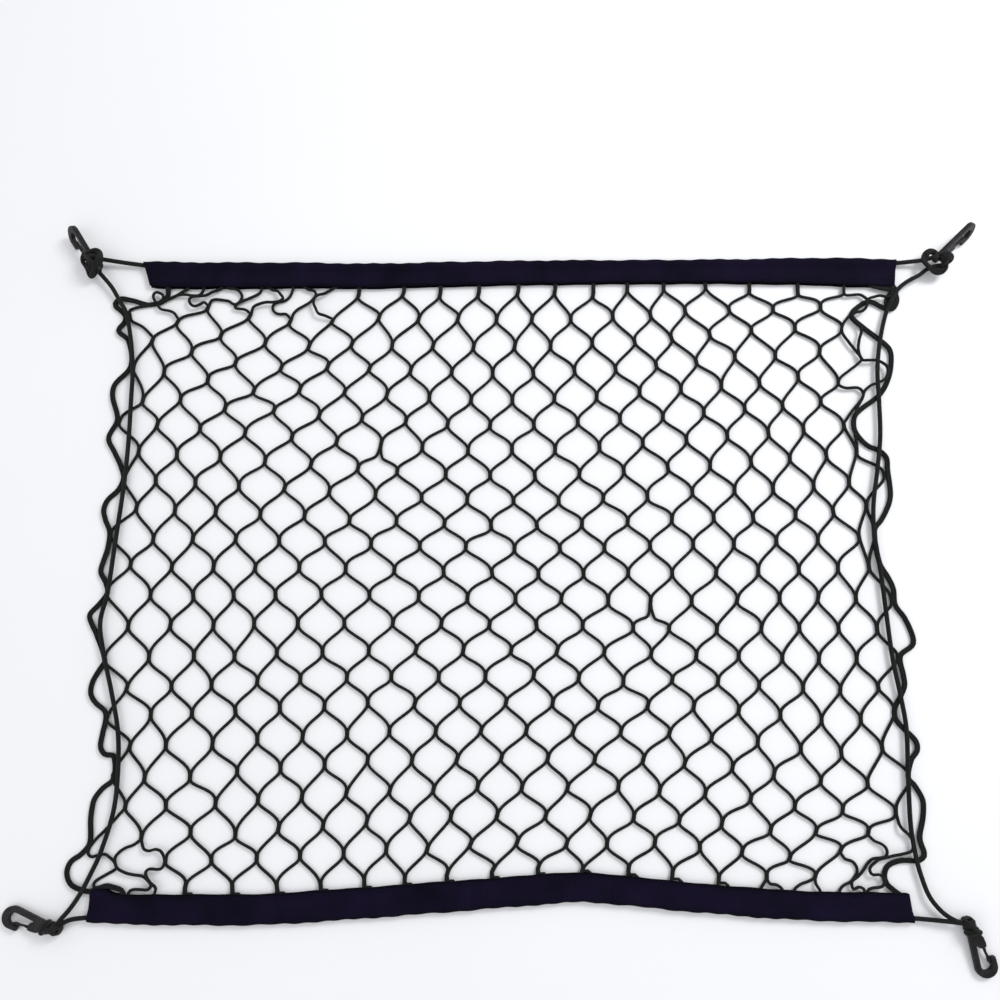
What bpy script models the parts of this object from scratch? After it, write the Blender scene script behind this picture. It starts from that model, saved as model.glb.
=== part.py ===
"""A cargo net laid out flat on a floor.

Knotless diamond mesh hangs between two folded cloth bands. An elastic border
cord runs round it, inside the bands' folds and along the mesh's side edges,
and is hitched to a plastic snap hook at each of the four corners.

Sizes in the tables are in millimetres. X runs along the bands, Y across the
net from one band to the other and Z up from the floor. The origin is on the
floor under the middle of the outer box.
"""

import math

import bmesh
import bpy
from mathutils import Matrix, Vector

MM = 0.001
GAP = 0.3                 # between pieces that touch

# Mesh
COLUMNS = 14              # whole gaps side by side in an even row
ROWS = 19                 # staggered rows of gaps from band to band
NET_HEIGHT = 2.6
STRAND = 2.8              # width of a single strand
JOINT = 4.2               # width where two strands run side by side
JOINT_HALF = 0.19         # half a joint's length, as a share of the row spacing
SELVEDGE = 4.4
BULGE = 10.0              # how far the side edge swings out between joints
HEADER_INSET = 11.0       # the mesh's sewn edge, from the band's fold
HEADER_END = 8.0          # from the end of the band to the sewn edge's end
HEADER_MOUTH = 2.0        # a strand pair straightens this far outside the band
STEP_UP_END = 3.0         # outside a band the mesh rises from the floor to the
STEP_UP_RUN = 7.0         # band's lower leaf over this run, up to this distance
SWING = ((0.6, 0.8), (1.0, 1.0), (1.4, 0.8))     # rows on, share of the bulge
MITRE_LIMIT = 2.6
PARALLEL = 0.12           # two bars that turn by less than this meet halfway

# Bands: strips folded in half lengthways round the border cord
BAND_WIDTH = 27.0
BAND_CLOTH = 1.2
BAND_STATIONS = 20
BAND_SLANT_RUN = 14.0
FOLD_STEPS = 4
THROAT = 12.0             # from the fold to where the two leaves lie parallel

# Border cord
CORD = 4.5
CORD_STEP = 13.0          # about three diameters between points
CORD_OVER_NET = NET_HEIGHT + GAP + CORD / 2
FOLD_ROOM = 0.6           # between the cord and the cloth folded round it
CORD_IN_FOLD = BAND_CLOTH + FOLD_ROOM + CORD / 2

# Snap hooks, drawn in their own plane: p runs from the eye end to the bend,
# q from the back arm to the tip, n out of the plane
HOOK_LENGTH = 61.0
HOOK_WIDTH = 21.5
HOOK_THICK = 5.0
HOOK_EDGE = 0.8
ARM = 5.4
BEND_WEB = 7.4            # thickness at the far end of the bend
TIP_END = 41.5
EYE_END_WIDTH = 9.5
NECK_END = 11.8           # where the body starts to widen
BODY_END = (22.0, 3.2)    # where the body is widest before the nose
EYE_HOLE = (4.0, 10.5, 5.2)     # p of both ends, width
NOSE = (27.5, 4.2)
TIP_DROP = 0.6            # the tip slopes in from the bend's outside
NOSE_BACK = (31.0, 4.1)   # the nose's far side, beside the gate's root
MOUTH = [(31.2, -0.8), (28.6, -3.6)]      # the mouth's back wall
MOUTH_START = 25.5
SEAT_TURN = (125, 235)    # the round seat of the gate's root
GATE_PIVOT = (33.2, 1.9)
GATE_ROOT = 1.3
GATE_THICK = 4.4
GATE_TURN = (40, 320)     # the round root of the gate
BLADE_START = 3.0         # from the pivot
BLADE_SIDES = (-0.6, 1.1)
BARB = [(41.5, 2.5), (46.0, 2.7), (48.4, 3.9)]     # the barb's inner side
BARB_END = 48.0           # along the barb's outer side, from its far end
BARB_START = (42.1, 40.0, 4.1)

# Knots
HITCH = 4.2               # the border cord, drawn tight
HITCH_SIDES = 6
KNOT_PLACE = 7.5          # p of the knot's middle

# Where five lines of the mesh cross its rows, (x, y). A row is counted in the
# real net's 22 staggered steps from the top band to the bottom one.
NET_STEPS = 22
NET_ROWS = [
    # step, left edge, left quarter, middle, right quarter, right edge
    (0, (-416.5, 304), (-188, 307.5), (4.5, 312), (182.5, 314.5), (410, 311)),
    (2, (-405.5, 285), (-190.5, 258.5), (1.5, 254), (189.5, 262), (395.5, 283)),
    (4, (-400.5, 235), (-199, 203.5), (0.5, 192.5), (199, 206.5), (384.5, 224)),
    (8, (-402.5, 107.5), (-209.5, 97), (1.5, 86), (206, 97), (375, 107.5)),
    (12, (-410, -15), (-216.5, -13), (1.5, -16), (205.5, -19), (379, -19)),
    (16, (-397, -134.5), (-210, -126.5), (-5, -121), (203, -126.5), (390.5, -140.5)),
    (20, (-397.5, -255), (-205.5, -240.5), (-15.5, -232), (185.5, -235), (389.5, -253)),
    (22, (-404.5, -296), (-206.5, -296), (-19, -280.5), (177, -286), (385.5, -295)),
]

# The folded edge of each band, (x, y)
TOP_FOLD = [
    (-392.5, 347), (-342.5, 345), (-218.5, 344), (-148.5, 343), (-58.5, 346),
    (33.5, 348), (142.5, 349), (245.5, 350), (328.5, 351.5), (409.5, 349),
]
BOTTOM_FOLD = [
    (-412.5, -332), (-373.5, -334), (-298.5, -335), (-238.5, -334.5), (-176.5, -330.5),
    (-85.5, -324), (-13.5, -318), (45.5, -313.5), (67.5, -312.5), (97.5, -314.5),
    (142.5, -319), (183.5, -322.5), (246.5, -327.5), (299.5, -330), (388.5, -332),
]
BANDS = {
    # name: fold line, side the fold faces, x shift of the open edge at each end
    "top_band": (TOP_FOLD, 1, (6.0, -4.0)),
    "bottom_band": (BOTTOM_FOLD, -1, (6.0, -7.0)),
}

# Border cord along the mesh's sides, (x, y), between the hooks
LEFT_SIDE = [
    (-424.5, 318), (-417.5, 306), (-408, 287.5), (-399, 236.5), (-398, 186),
    (-398.5, 136), (-401, 93), (-405.5, 44), (-410.5, -11), (-416, -41),
    (-410.5, -72.5), (-400, -112.5), (-392, -148.5), (-389.5, -185),
    (-391.5, -226), (-401, -267), (-418, -300), (-429.5, -320),
]
RIGHT_SIDE = [
    (431.5, 327), (413.5, 317), (397.5, 293), (389, 263), (384, 229), (383.5, 191),
    (382.5, 153.5), (377.5, 118), (371.5, 82), (370.5, 52), (374.5, 14), (378, -33),
    (381.5, -76.5), (387, -112.5), (391, -146), (390, -191),
    (389.5, -241), (394.5, -280), (406.5, -308), (417.5, -322),
]

# Snap hooks: middle of the bend, heading of the bend seen from the eye, roll
# about the length, height of the middle plane at the bend and at the eye, the
# knot's turns as (p, lean along p in degrees, slack), and where the two cords
# meet the knot, (x, y, z)
HOOKS = {
    "top_left": {
        "bend": (-462.8, 369.5), "heading": 121.5, "roll": -55,
        "bend_height": 11.0, "eye_height": 7.6,
        "turns": [(5.6, 0, 0), (9.3, 0, 0), (13.0, 0, 0), (16.7, 0, 0), (20.4, 0, 0)],
        "band_cord": (-433.5, 345.5, 7.5), "side_cord": (-431, 323.5, 7.0),
    },
    "top_right": {
        "bend": (481.84, 373.6), "heading": 44, "roll": -112,
        "bend_height": 11.4, "eye_height": 7.4,
        "turns": [(9.3, 0, 0), (2.4, 34, 2.6), (6.1, -31, 2.9)],
        "band_cord": (434.5, 347, 7.0), "side_cord": (442.5, 334, 6.5),
    },
    "bottom_left": {
        "bend": (-480.5, -326.5), "heading": 157, "roll": 0,
        "bend_height": 3.5, "eye_height": 7.5,
        "turns": [(5.6, 0, 0), (9.3, 0, 0), (13.0, 0, 0)],
        "band_cord": (-430.5, -329.5, 7.2), "side_cord": (-437, -326, 7.2),
    },
    "bottom_right": {
        "bend": (451.5, -371.77), "heading": -78, "roll": 0,
        "bend_height": 3.6, "eye_height": 7.8,
        "turns": [(5.6, 0, 0), (9.3, 0, 0), (13.0, 0, 0)],
        "band_cord": (426.5, -336.5, 7.0), "side_cord": (426, -329.5, 7.4),
    },
}

MATERIALS = {
    # name: colour, roughness
    "net_yarn": ((0.018, 0.020, 0.018), 0.85),
    "band_cloth": ((0.010, 0.009, 0.018), 0.95),
    "border_cord": ((0.016, 0.018, 0.017), 0.7),
    "hook_plastic": ((0.045, 0.045, 0.050), 0.45),
}


def clear_scene():
    for old in list(bpy.data.objects):
        bpy.data.objects.remove(old, do_unlink=True)


def material(name):
    """One plain Principled material for each finish."""
    found = bpy.data.materials.get(name)
    if found:
        return found
    colour, roughness = MATERIALS[name]
    made = bpy.data.materials.new(name)
    made.use_nodes = True
    shader = made.node_tree.nodes["Principled BSDF"]
    shader.inputs["Base Color"].default_value = (*colour, 1.0)
    shader.inputs["Roughness"].default_value = roughness
    shader.inputs["Metallic"].default_value = 0.0
    return made


def add_object(name, data, finish):
    """Link one named object and give it its finish."""
    made = bpy.data.objects.new(name, data)
    bpy.context.collection.objects.link(made)
    data.materials.append(material(finish))
    return made


def to_mesh(bm, name, smooth=False):
    """Turn a bmesh in millimetres into a mesh in metres, facing outwards."""
    bmesh.ops.recalc_face_normals(bm, faces=bm.faces)
    bmesh.ops.scale(bm, vec=(MM, MM, MM), verts=bm.verts)
    mesh = bpy.data.meshes.new(name)
    bm.to_mesh(mesh)
    bm.free()
    if smooth:
        mesh.shade_smooth()
        mesh.set_sharp_from_angle(angle=math.radians(50))
    return mesh


def spline(knots, values, at):
    """A smooth curve through values at uneven knots, read at one place."""
    last = len(knots) - 1
    at = min(max(at, knots[0]), knots[last])
    i = 0
    while i < last - 1 and at > knots[i + 1]:
        i += 1

    def slope(k):
        low, high = max(k - 1, 0), min(k + 1, last)
        return (values[high] - values[low]) / (knots[high] - knots[low])

    span = knots[i + 1] - knots[i]
    t = (at - knots[i]) / span
    return (values[i] * (2 * t**3 - 3 * t**2 + 1)
            + slope(i) * (span * (t**3 - 2 * t**2 + t))
            + values[i + 1] * (3 * t**2 - 2 * t**3)
            + slope(i + 1) * (span * (t**3 - t**2)))


def fold_line(line, x):
    """Y of a band's folded edge at x."""
    return spline([p[0] for p in line], [p[1] for p in line], x)


def smooth_route(points, step):
    """Even points along a smooth curve through the route's own points."""
    points = [Vector(p) for p in points]
    lengths = [0.0]
    for a, b in zip(points, points[1:]):
        lengths.append(lengths[-1] + (b - a).length)
    count = max(2, round(lengths[-1] / step))
    return [spline(lengths, points, lengths[-1] * i / count) for i in range(count + 1)]


# ---------------------------------------------------------------- mesh


def net_point(across, step):
    """(x, y) of the mesh at a share of its width and a row step."""
    steps = [row[0] for row in NET_ROWS]
    shares = [0.0, 0.25, 0.5, 0.75, 1.0]
    line = [spline(steps, [Vector(row[1 + i]) for row in NET_ROWS], step) for i in range(5)]
    return spline(shares, line, across)


def joint_across(row, index):
    """Share of the width at a joint; odd rows sit half a column further on."""
    return (index + 0.5 * (row % 2)) / COLUMNS


def net_plan():
    """The mesh's strands as a plan of named places and the bars between them."""
    step = NET_STEPS / (ROWS - 1)
    places = {}
    bars = []
    for row in range(ROWS):
        for index in range(COLUMNS + 1 - row % 2):
            across = joint_across(row, index)
            upper = max(row - JOINT_HALF, 0) * step
            lower = min(row + JOINT_HALF, ROWS - 1) * step
            places["upper", row, index] = net_point(across, upper)
            places["lower", row, index] = net_point(across, lower)
            edge = row % 2 == 0 and index in (0, COLUMNS)
            width = SELVEDGE if edge else JOINT
            bars.append((("upper", row, index), ("lower", row, index), width))
    for row in range(ROWS - 1):
        for index in range(COLUMNS + 1 - row % 2):
            shift = -1 if row % 2 == 0 else 0
            for below in (index + shift, index + shift + 1):
                if 0 <= below < COLUMNS + row % 2:
                    bars.append((("lower", row, index), ("upper", row + 1, below), STRAND))
    for row in range(0, ROWS - 2, 2):
        for index, out in ((0, -1), (COLUMNS, 1)):
            bars += selvedge_swing(places, row, index, out, step)
    for band, row, end in (("top_band", 0, "upper"), ("bottom_band", ROWS - 1, "lower")):
        bars += header(places, band, row, end)
    return places, bars


def selvedge_swing(places, row, index, out, step):
    """The side edge swings outwards past each odd row between two joints."""
    across = joint_across(row, index)
    names = [("lower", row, index)]
    for share, reach in SWING:
        name = ("swing", row + share, index)
        edge = net_point(across, (row + share) * step)
        places[name] = edge + Vector((out * BULGE * reach, 0))
        names.append(name)
    names.append(("upper", row + 2, index))
    return [(a, b, SELVEDGE) for a, b in zip(names, names[1:])]


def header(places, band, row, end):
    """Inside the band each strand pair runs up to the mesh's sewn edge."""
    line, side, _ = BANDS[band]
    low, high = line[0][0] + HEADER_END, line[-1][0] - HEADER_END
    names = []
    bars = []
    for index in range(COLUMNS + 1):
        mouth = places[end, row, index]
        mouth.x = min(max(mouth.x, low), high)
        mouth.y = fold_line(line, mouth.x) - side * (BAND_WIDTH + HEADER_MOUTH)
        name = ("header", row, index)
        places[name] = Vector((mouth.x, fold_line(line, mouth.x) - side * HEADER_INSET))
        names.append(name)
        bars.append(((end, row, index), name, JOINT))
    bars += [(a, b, STRAND) for a, b in zip(names, names[1:])]
    return bars


def net_base_height(x, y):
    """The mesh lies on the floor and steps up onto the bands' lower leaves."""
    lift = BAND_CLOTH + GAP
    raised = 0.0
    for line, side, _ in BANDS.values():
        outside = (fold_line(line, x) - y) * side - BAND_WIDTH
        share = (STEP_UP_END + STEP_UP_RUN - outside) / STEP_UP_RUN
        share = min(max(share, 0.0), 1.0)
        raised = max(raised, lift * share)
    return raised


def bar_corner(here, ahead, ahead_half, behind, behind_half):
    """Where the left side of one bar meets the right side of the next."""
    left = Vector((-ahead.y, ahead.x)) * ahead_half
    right = Vector((behind.y, -behind.x)) * behind_half
    cross = ahead.x * behind.y - ahead.y * behind.x
    if abs(cross) < PARALLEL:
        return here + (left + right) / 2
    along = ((right - left).x * behind.y - (right - left).y * behind.x) / cross
    corner = left + ahead * along
    limit = MITRE_LIMIT * max(ahead_half, behind_half)
    if corner.length > limit:
        corner = corner.normalized() * limit
    return here + corner


def build_net():
    """One cut-through sheet made of every bar's quad and every place's polygon."""
    places, bars = net_plan()
    meeting = {name: [] for name in places}
    for number, (a, b, width) in enumerate(bars):
        for start, end in ((a, b), (b, a)):
            way = (places[end] - places[start]).normalized()
            meeting[start].append((math.atan2(way.y, way.x), number, way, width / 2))
    bm = bmesh.new()
    sides = {}
    for name, arms in meeting.items():
        arms.sort()
        corners = []
        for k, (_, number, way, half) in enumerate(arms):
            _, other, other_way, other_half = arms[(k + 1) % len(arms)]
            place = bar_corner(places[name], way, half, other_way, other_half)
            vert = bm.verts.new((place.x, place.y, net_base_height(place.x, place.y)))
            sides[name, number, "left"] = vert
            sides[name, other, "right"] = vert
            corners.append(vert)
        if len(corners) > 2:
            bm.faces.new(corners)
    for number, (a, b, _) in enumerate(bars):
        bm.faces.new((sides[a, number, "right"], sides[b, number, "left"],
                      sides[b, number, "right"], sides[a, number, "left"]))
    grown = bmesh.ops.extrude_face_region(bm, geom=bm.faces[:])
    lifted = [item for item in grown["geom"] if isinstance(item, bmesh.types.BMVert)]
    bmesh.ops.translate(bm, vec=(0, 0, NET_HEIGHT), verts=lifted)
    bmesh.ops.triangulate(bm, faces=bm.faces)
    add_object("net", to_mesh(bm, "net"), "net_yarn")


# ---------------------------------------------------------------- bands


def arc(centre, radius, first, last, steps):
    """Points on an arc between two angles in degrees."""
    turns = [math.radians(first + (last - first) * i / steps) for i in range(steps + 1)]
    return [(centre[0] + radius * math.cos(t), centre[1] + radius * math.sin(t)) for t in turns]


def band_section():
    """The folded strip cut across: (distance in from the fold, height)."""
    outer = CORD_IN_FOLD
    leaf_top = 2 * BAND_CLOTH + NET_HEIGHT + 2 * GAP
    middle = (outer, outer)
    section = [(BAND_WIDTH, 0.0)]
    section += arc(middle, outer, 270, 90, FOLD_STEPS)
    section += [(THROAT, leaf_top), (BAND_WIDTH, leaf_top)]
    section += [(BAND_WIDTH, leaf_top - BAND_CLOTH), (THROAT, leaf_top - BAND_CLOTH)]
    section += arc(middle, outer - BAND_CLOTH, 90, 270, FOLD_STEPS)
    section += [(BAND_WIDTH, BAND_CLOTH)]
    return section


def band_stations(name):
    """Places along a band where its section and the cord inside it are set."""
    line = BANDS[name][0]
    first, last = line[0][0], line[-1][0]
    inner_run = last - first - 2 * BAND_SLANT_RUN
    inside = [first + BAND_SLANT_RUN + inner_run * i / BAND_STATIONS
              for i in range(BAND_STATIONS + 1)]
    return [first, *inside, last]


def build_band(name):
    """Sweep the folded section along the band, with its ends cut on a slant."""
    line, side, slants = BANDS[name]
    section = band_section()
    stations = band_stations(name)
    bm = bmesh.new()
    rings = []
    for number, x in enumerate(stations):
        slant = 0.0
        if number == 0:
            slant = slants[0]
        elif number == len(stations) - 1:
            slant = slants[1]
        ring = []
        for inwards, height in section:
            place = x + slant * inwards / BAND_WIDTH
            y = fold_line(line, x) - side * inwards
            ring.append(bm.verts.new((place, y, height)))
        rings.append(ring)
    for before, after in zip(rings, rings[1:]):
        for k in range(len(section)):
            j = (k + 1) % len(section)
            bm.faces.new((before[k], before[j], after[j], after[k]))
    bm.faces.new(rings[0])
    bm.faces.new(rings[-1])
    add_object(name, to_mesh(bm, name, smooth=True), "band_cloth")


# ---------------------------------------------------------------- hooks


def hook_frame(hook):
    """Place the hook's own plane: the bend rests low and the eye on its knot."""
    along = HOOK_LENGTH - HOOK_WIDTH / 2
    rise = hook["eye_height"] - hook["bend_height"]
    pitch = math.asin(rise / (along - KNOT_PLACE))
    turn = Matrix.Rotation(math.radians(hook["heading"]), 4, "Z")
    tilt = Matrix.Rotation(pitch, 4, "Y")
    roll = Matrix.Rotation(math.radians(hook["roll"]), 4, "X")
    bend = Matrix.Translation((*hook["bend"], hook["bend_height"]))
    return bend @ turn @ tilt @ roll @ Matrix.Translation((-along, 0, 0))


def hook_outline():
    """The hook's open outline, eye end, back arm, bend, tip and nose."""
    half = HOOK_WIDTH / 2
    bend = (HOOK_LENGTH - half, 0.0)
    inside = half - ARM
    inner_bend = (HOOK_LENGTH - BEND_WEB - inside, 0.0)
    eye_half = EYE_END_WIDTH / 2
    eye = (eye_half, eye_half - half)
    seat = GATE_ROOT + GAP
    outline = [(TIP_END, half - TIP_DROP)]
    outline += arc(bend, half, 90, -90, 10)
    outline += arc(eye, eye_half, 270, 90, 6)
    outline += [(NECK_END, eye_half * 2 - half), BODY_END, NOSE, NOSE_BACK]
    outline += arc(GATE_PIVOT, seat, *SEAT_TURN, 3)
    outline += [*MOUTH, (MOUTH_START, -inside)]
    outline += arc(inner_bend, inside, -90, 90, 7)
    outline += [(TIP_END, inside)]
    return outline


def eye_hole():
    near, far, width = EYE_HOLE
    middle = (EYE_END_WIDTH - HOOK_WIDTH) / 2
    low, high = middle - width / 2, middle + width / 2
    return [(near, low), (far, low), (far, high), (near, high)]


def gate_outline():
    """The springy tongue: a round root, a thin blade and a thicker barb."""
    pivot_p, pivot_q = GATE_PIVOT
    inside = HOOK_WIDTH / 2 - ARM - GAP
    inner, outer = BLADE_SIDES
    shoulder, start, start_q = BARB_START
    outline = arc(GATE_PIVOT, GATE_ROOT, *GATE_TURN, 7)
    outline += [(pivot_p + BLADE_START, pivot_q + inner), *BARB]
    outline += [(BARB_END, inside), (shoulder, inside), (start, start_q)]
    outline += [(pivot_p + BLADE_START, pivot_q + outer)]
    return outline


def plate(outlines, thickness):
    """A flat plate in the p, q plane, with any outline after the first a hole."""
    bm = bmesh.new()
    for outline in outlines:
        verts = [bm.verts.new((p, q, -thickness / 2)) for p, q in outline]
        for a, b in zip(verts, verts[1:] + verts[:1]):
            bm.edges.new((a, b))
    bmesh.ops.triangle_fill(bm, use_beauty=True, edges=bm.edges[:])
    bmesh.ops.dissolve_limit(bm, angle_limit=math.radians(1), verts=bm.verts, edges=bm.edges,
                             use_dissolve_boundaries=False)
    grown = bmesh.ops.extrude_face_region(bm, geom=bm.faces[:])
    lifted = [item for item in grown["geom"] if isinstance(item, bmesh.types.BMVert)]
    bmesh.ops.translate(bm, vec=(0, 0, thickness), verts=lifted)
    bmesh.ops.recalc_face_normals(bm, faces=bm.faces)
    return bm


def chamfer_rims(bm, width):
    """Take the edge off both faces of a plate."""
    rims = [edge for edge in bm.edges
            if len(edge.link_faces) == 2
            and any(abs(face.normal.z) > 0.9 for face in edge.link_faces)
            and any(abs(face.normal.z) < 0.1 for face in edge.link_faces)]
    bmesh.ops.bevel(bm, geom=rims, offset=width, segments=1, profile=0.5,
                    affect="EDGES", clamp_overlap=True, material=-1)


def build_hook(corner):
    hook = HOOKS[corner]
    bm = plate([hook_outline(), eye_hole()], HOOK_THICK)
    chamfer_rims(bm, HOOK_EDGE)
    bmesh.ops.transform(bm, matrix=hook_frame(hook), verts=bm.verts)
    name = "hook_" + corner
    add_object(name, to_mesh(bm, name, smooth=True), "hook_plastic")


def build_gate(corner):
    """The gate's origin lies on the line it springs about."""
    frame = hook_frame(HOOKS[corner])
    pivot = Vector((*GATE_PIVOT, 0))
    name = "gate_" + corner
    bm = plate([gate_outline()], GATE_THICK)
    bmesh.ops.translate(bm, vec=-pivot, verts=bm.verts)
    made = add_object(name, to_mesh(bm, name, smooth=True), "hook_plastic")
    place = frame @ Matrix.Translation(pivot)
    place.translation *= MM
    made.matrix_world = place


# ---------------------------------------------------------------- knots


def cord_ring(path, normal, matrix):
    """A closed turn of cord along a flat path."""
    bm = bmesh.new()
    rings = []
    count = len(path)
    for k, here in enumerate(path):
        along = (path[(k + 1) % count] - path[k - 1]).normalized()
        across = normal.cross(along)
        ring = []
        for side in range(HITCH_SIDES):
            turn = 2 * math.pi * side / HITCH_SIDES
            offset = (normal * math.cos(turn) + across * math.sin(turn)) * HITCH / 2
            ring.append(bm.verts.new(here + offset))
        rings.append(ring)
    for k in range(count):
        before, after = rings[k], rings[(k + 1) % count]
        for side in range(HITCH_SIDES):
            other = (side + 1) % HITCH_SIDES
            bm.faces.new((before[side], before[other], after[other], after[side]))
    bmesh.ops.transform(bm, matrix=matrix, verts=bm.verts)
    return bm


def loop_path(centre, first, second, half_first, half_second, reach):
    """A closed path at one distance round an oblong, three points a corner."""
    path = []
    for quarter in range(4):
        for turn in (0, 45, 90):
            angle = math.radians(90 * quarter + turn)
            a, b = math.cos(angle), math.sin(angle)
            side_first = 1 if quarter in (0, 3) else -1
            side_second = 1 if quarter in (0, 1) else -1
            path.append(centre + first * (side_first * half_first + a * reach)
                        + second * (side_second * half_second + b * reach))
    return path


def open_side(p):
    """The q of the hook's body on the gate's side, over a knot turn at p."""
    neck_q = EYE_END_WIDTH - HOOK_WIDTH / 2
    body_p, body_q = BODY_END
    share = (p + HITCH / 2 - NECK_END) / (body_p - NECK_END)
    return neck_q + max(share, 0) * (body_q - neck_q)


def build_knot(corner):
    """A turn through the hook's eye, joined to the turns round its body."""
    frame = hook_frame(HOOKS[corner])
    name = "knot_" + corner
    p_way, q_way, n_way = Vector((1, 0, 0)), Vector((0, 1, 0)), Vector((0, 0, 1))
    reach = HITCH / 2 + GAP
    bar_half = EYE_HOLE[0] / 2
    middle = Vector((bar_half, (EYE_END_WIDTH - HOOK_WIDTH) / 2, 0))
    through = loop_path(middle, p_way, n_way, bar_half, HOOK_THICK / 2, reach)
    turns = [cord_ring(through, q_way, frame)]
    for p, lean, slack in HOOKS[corner]["turns"]:
        low, high = -HOOK_WIDTH / 2, open_side(p)
        tip = Matrix.Rotation(math.radians(lean), 3, "Y")
        path = loop_path(Vector((p, (low + high) / 2, 0)), q_way, tip @ n_way,
                         (high - low) / 2, HOOK_THICK / 2, reach + slack)
        turns.append(cord_ring(path, tip @ p_way, frame))
    made = [add_object(name if k == 0 else f"{name}_turn_{k}", to_mesh(bm, name, smooth=True),
                       "border_cord") for k, bm in enumerate(turns)]
    for turn in made[1:]:
        turn.hide_render = True
        turn.display_type = "WIRE"
        joined = made[0].modifiers.new(turn.name, "BOOLEAN")
        joined.operation = "UNION"
        joined.object = turn


# ---------------------------------------------------------------- border cord


def build_cord(name, points):
    """The elastic cord as a round tube along its points."""
    curve = bpy.data.curves.new(name, "CURVE")
    curve.dimensions = "3D"
    curve.bevel_depth = CORD / 2 * MM
    curve.bevel_resolution = 2
    curve.use_fill_caps = True
    strand = curve.splines.new("POLY")
    strand.points.add(len(points) - 1)
    for place, point in zip(points, strand.points):
        point.co = (*(place * MM), 1.0)
    add_object(name, curve, "border_cord")


def side_points(points, top, bottom):
    """From the top hook, over the mesh's side edge, to the bottom hook."""
    middle = [Vector((x, y, CORD_OVER_NET + net_base_height(x, y))) for x, y in points]
    route = [HOOKS[top]["side_cord"], *middle, HOOKS[bottom]["side_cord"]]
    return smooth_route(route, CORD_STEP)


def band_points(name, left, right):
    """From the left hook, through the band's fold, to the right hook."""
    line, side, _ = BANDS[name]
    inside = [Vector((x, fold_line(line, x) - side * CORD_IN_FOLD, CORD_IN_FOLD))
              for x in band_stations(name)]
    start = smooth_route([HOOKS[left]["band_cord"], *inside[:2]], CORD_STEP)
    end = smooth_route([HOOKS[right]["band_cord"], *inside[:-3:-1]], CORD_STEP)
    return start[:-1] + inside[1:-1] + end[-2::-1]


def build_border_cords():
    build_cord("cord_left", side_points(LEFT_SIDE, "top_left", "bottom_left"))
    build_cord("cord_right", side_points(RIGHT_SIDE, "top_right", "bottom_right"))
    build_cord("cord_top", band_points("top_band", "top_left", "top_right"))
    build_cord("cord_bottom", band_points("bottom_band", "bottom_left", "bottom_right"))


def main():
    clear_scene()
    build_net()
    for band in BANDS:
        build_band(band)
    for corner in HOOKS:
        build_hook(corner)
        build_gate(corner)
        build_knot(corner)
    build_border_cords()


main()
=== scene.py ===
"""Dresses the cargo net's solids: knitted netting between two folded cloth
bands, braided border cord, hitched knots and moulded snap hooks.

Tables are in millimetres in the frame of the solids: X along the bands, Y
across the net, Z up from the floor. Everything that is built is in metres.
"""

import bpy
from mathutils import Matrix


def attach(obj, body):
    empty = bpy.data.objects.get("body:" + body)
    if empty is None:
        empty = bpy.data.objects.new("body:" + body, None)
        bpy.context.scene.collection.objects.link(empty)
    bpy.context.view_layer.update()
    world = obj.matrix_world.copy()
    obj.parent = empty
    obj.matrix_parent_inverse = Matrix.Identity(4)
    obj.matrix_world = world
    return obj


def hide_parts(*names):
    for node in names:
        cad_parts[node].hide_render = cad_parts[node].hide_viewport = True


bl_info = {
    "name": "Cargo net dressing",
    "version": (1, 0, 0),
    "blender": (4, 5, 0),
    "location": "3D View > Sidebar > Cargo net",
    "description": "Builds the netting, bands, cords, knots and hooks of a cargo net",
    "category": "Object",
}

import math
import random

import bmesh
import bpy
from mathutils import Matrix, Vector

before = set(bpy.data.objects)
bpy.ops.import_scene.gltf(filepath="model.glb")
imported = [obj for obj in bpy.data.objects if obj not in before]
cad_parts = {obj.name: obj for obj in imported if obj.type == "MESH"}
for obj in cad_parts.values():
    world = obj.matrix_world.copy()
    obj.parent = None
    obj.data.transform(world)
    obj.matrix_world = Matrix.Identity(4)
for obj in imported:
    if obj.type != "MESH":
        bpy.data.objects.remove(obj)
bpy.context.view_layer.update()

MM = 0.001
GAP = 0.3                 # kept between pieces that lie against each other
NET_THICK = 2.6           # of the solids' netting
ROUTE_STEP = 2.5          # between the points of a smooth route

# ---------------------------------------------------------------- the net's lie

COLUMNS = 18              # gaps side by side
ROWS = 22                 # staggered steps from the top band to the bottom one
YARNS = 2 * COLUMNS       # each yarn zigzags half a column's width

# Every route is traced as if it lay on the floor. A place at a height is drawn
# in towards the point under the view by its share of the view's height.
VIEW_FOOT = (-12.5, -144.0)
VIEW_HEIGHT = 880.0

NET_SEED = 11
WHOLE_TURN = 6.28
JOINT_WOBBLE = (0.5, 0.4) # of a joint that has no shift of its own, in x and y
LEAN_WOBBLE = 3.5         # degrees
JOINT_STRETCH = (0.85, 1.2)
STRAND_PULLS = ((0.35, 0.75), (0.5, 1.1))  # out of one joint and into the next
STRAND_STEPS = 9
SLACK_PULLS = (0.9, 0.9)
SLACK_STEPS = 5
CROWDED = 3.5             # a loose run's points this near the one before or its end are left out
YARN_LIFT = 0.15
YARN_WAVE = 0.5           # height of a yarn's slow rise and fall
WAVE_TURN = 0.52          # of that wave from point to point, in radians
YARN_OVER = 1.6           # step between the heights of three loose yarns side by side
YARN_ROUNDNESS = 2
SELVEDGE_STEP = 3.0
SELVEDGE_TWIST = 0.19     # radians a step
SELVEDGE_APART = (0.72, 0.03)  # each strand off their middle in radii, and its swing
SELVEDGE_LIFT = (0.5, 0.35)    # of both strands, and of their twist
RISE_START = 10.0         # off a band, where the mesh begins to step up onto it
RISE_RUN = 7.0
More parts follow.
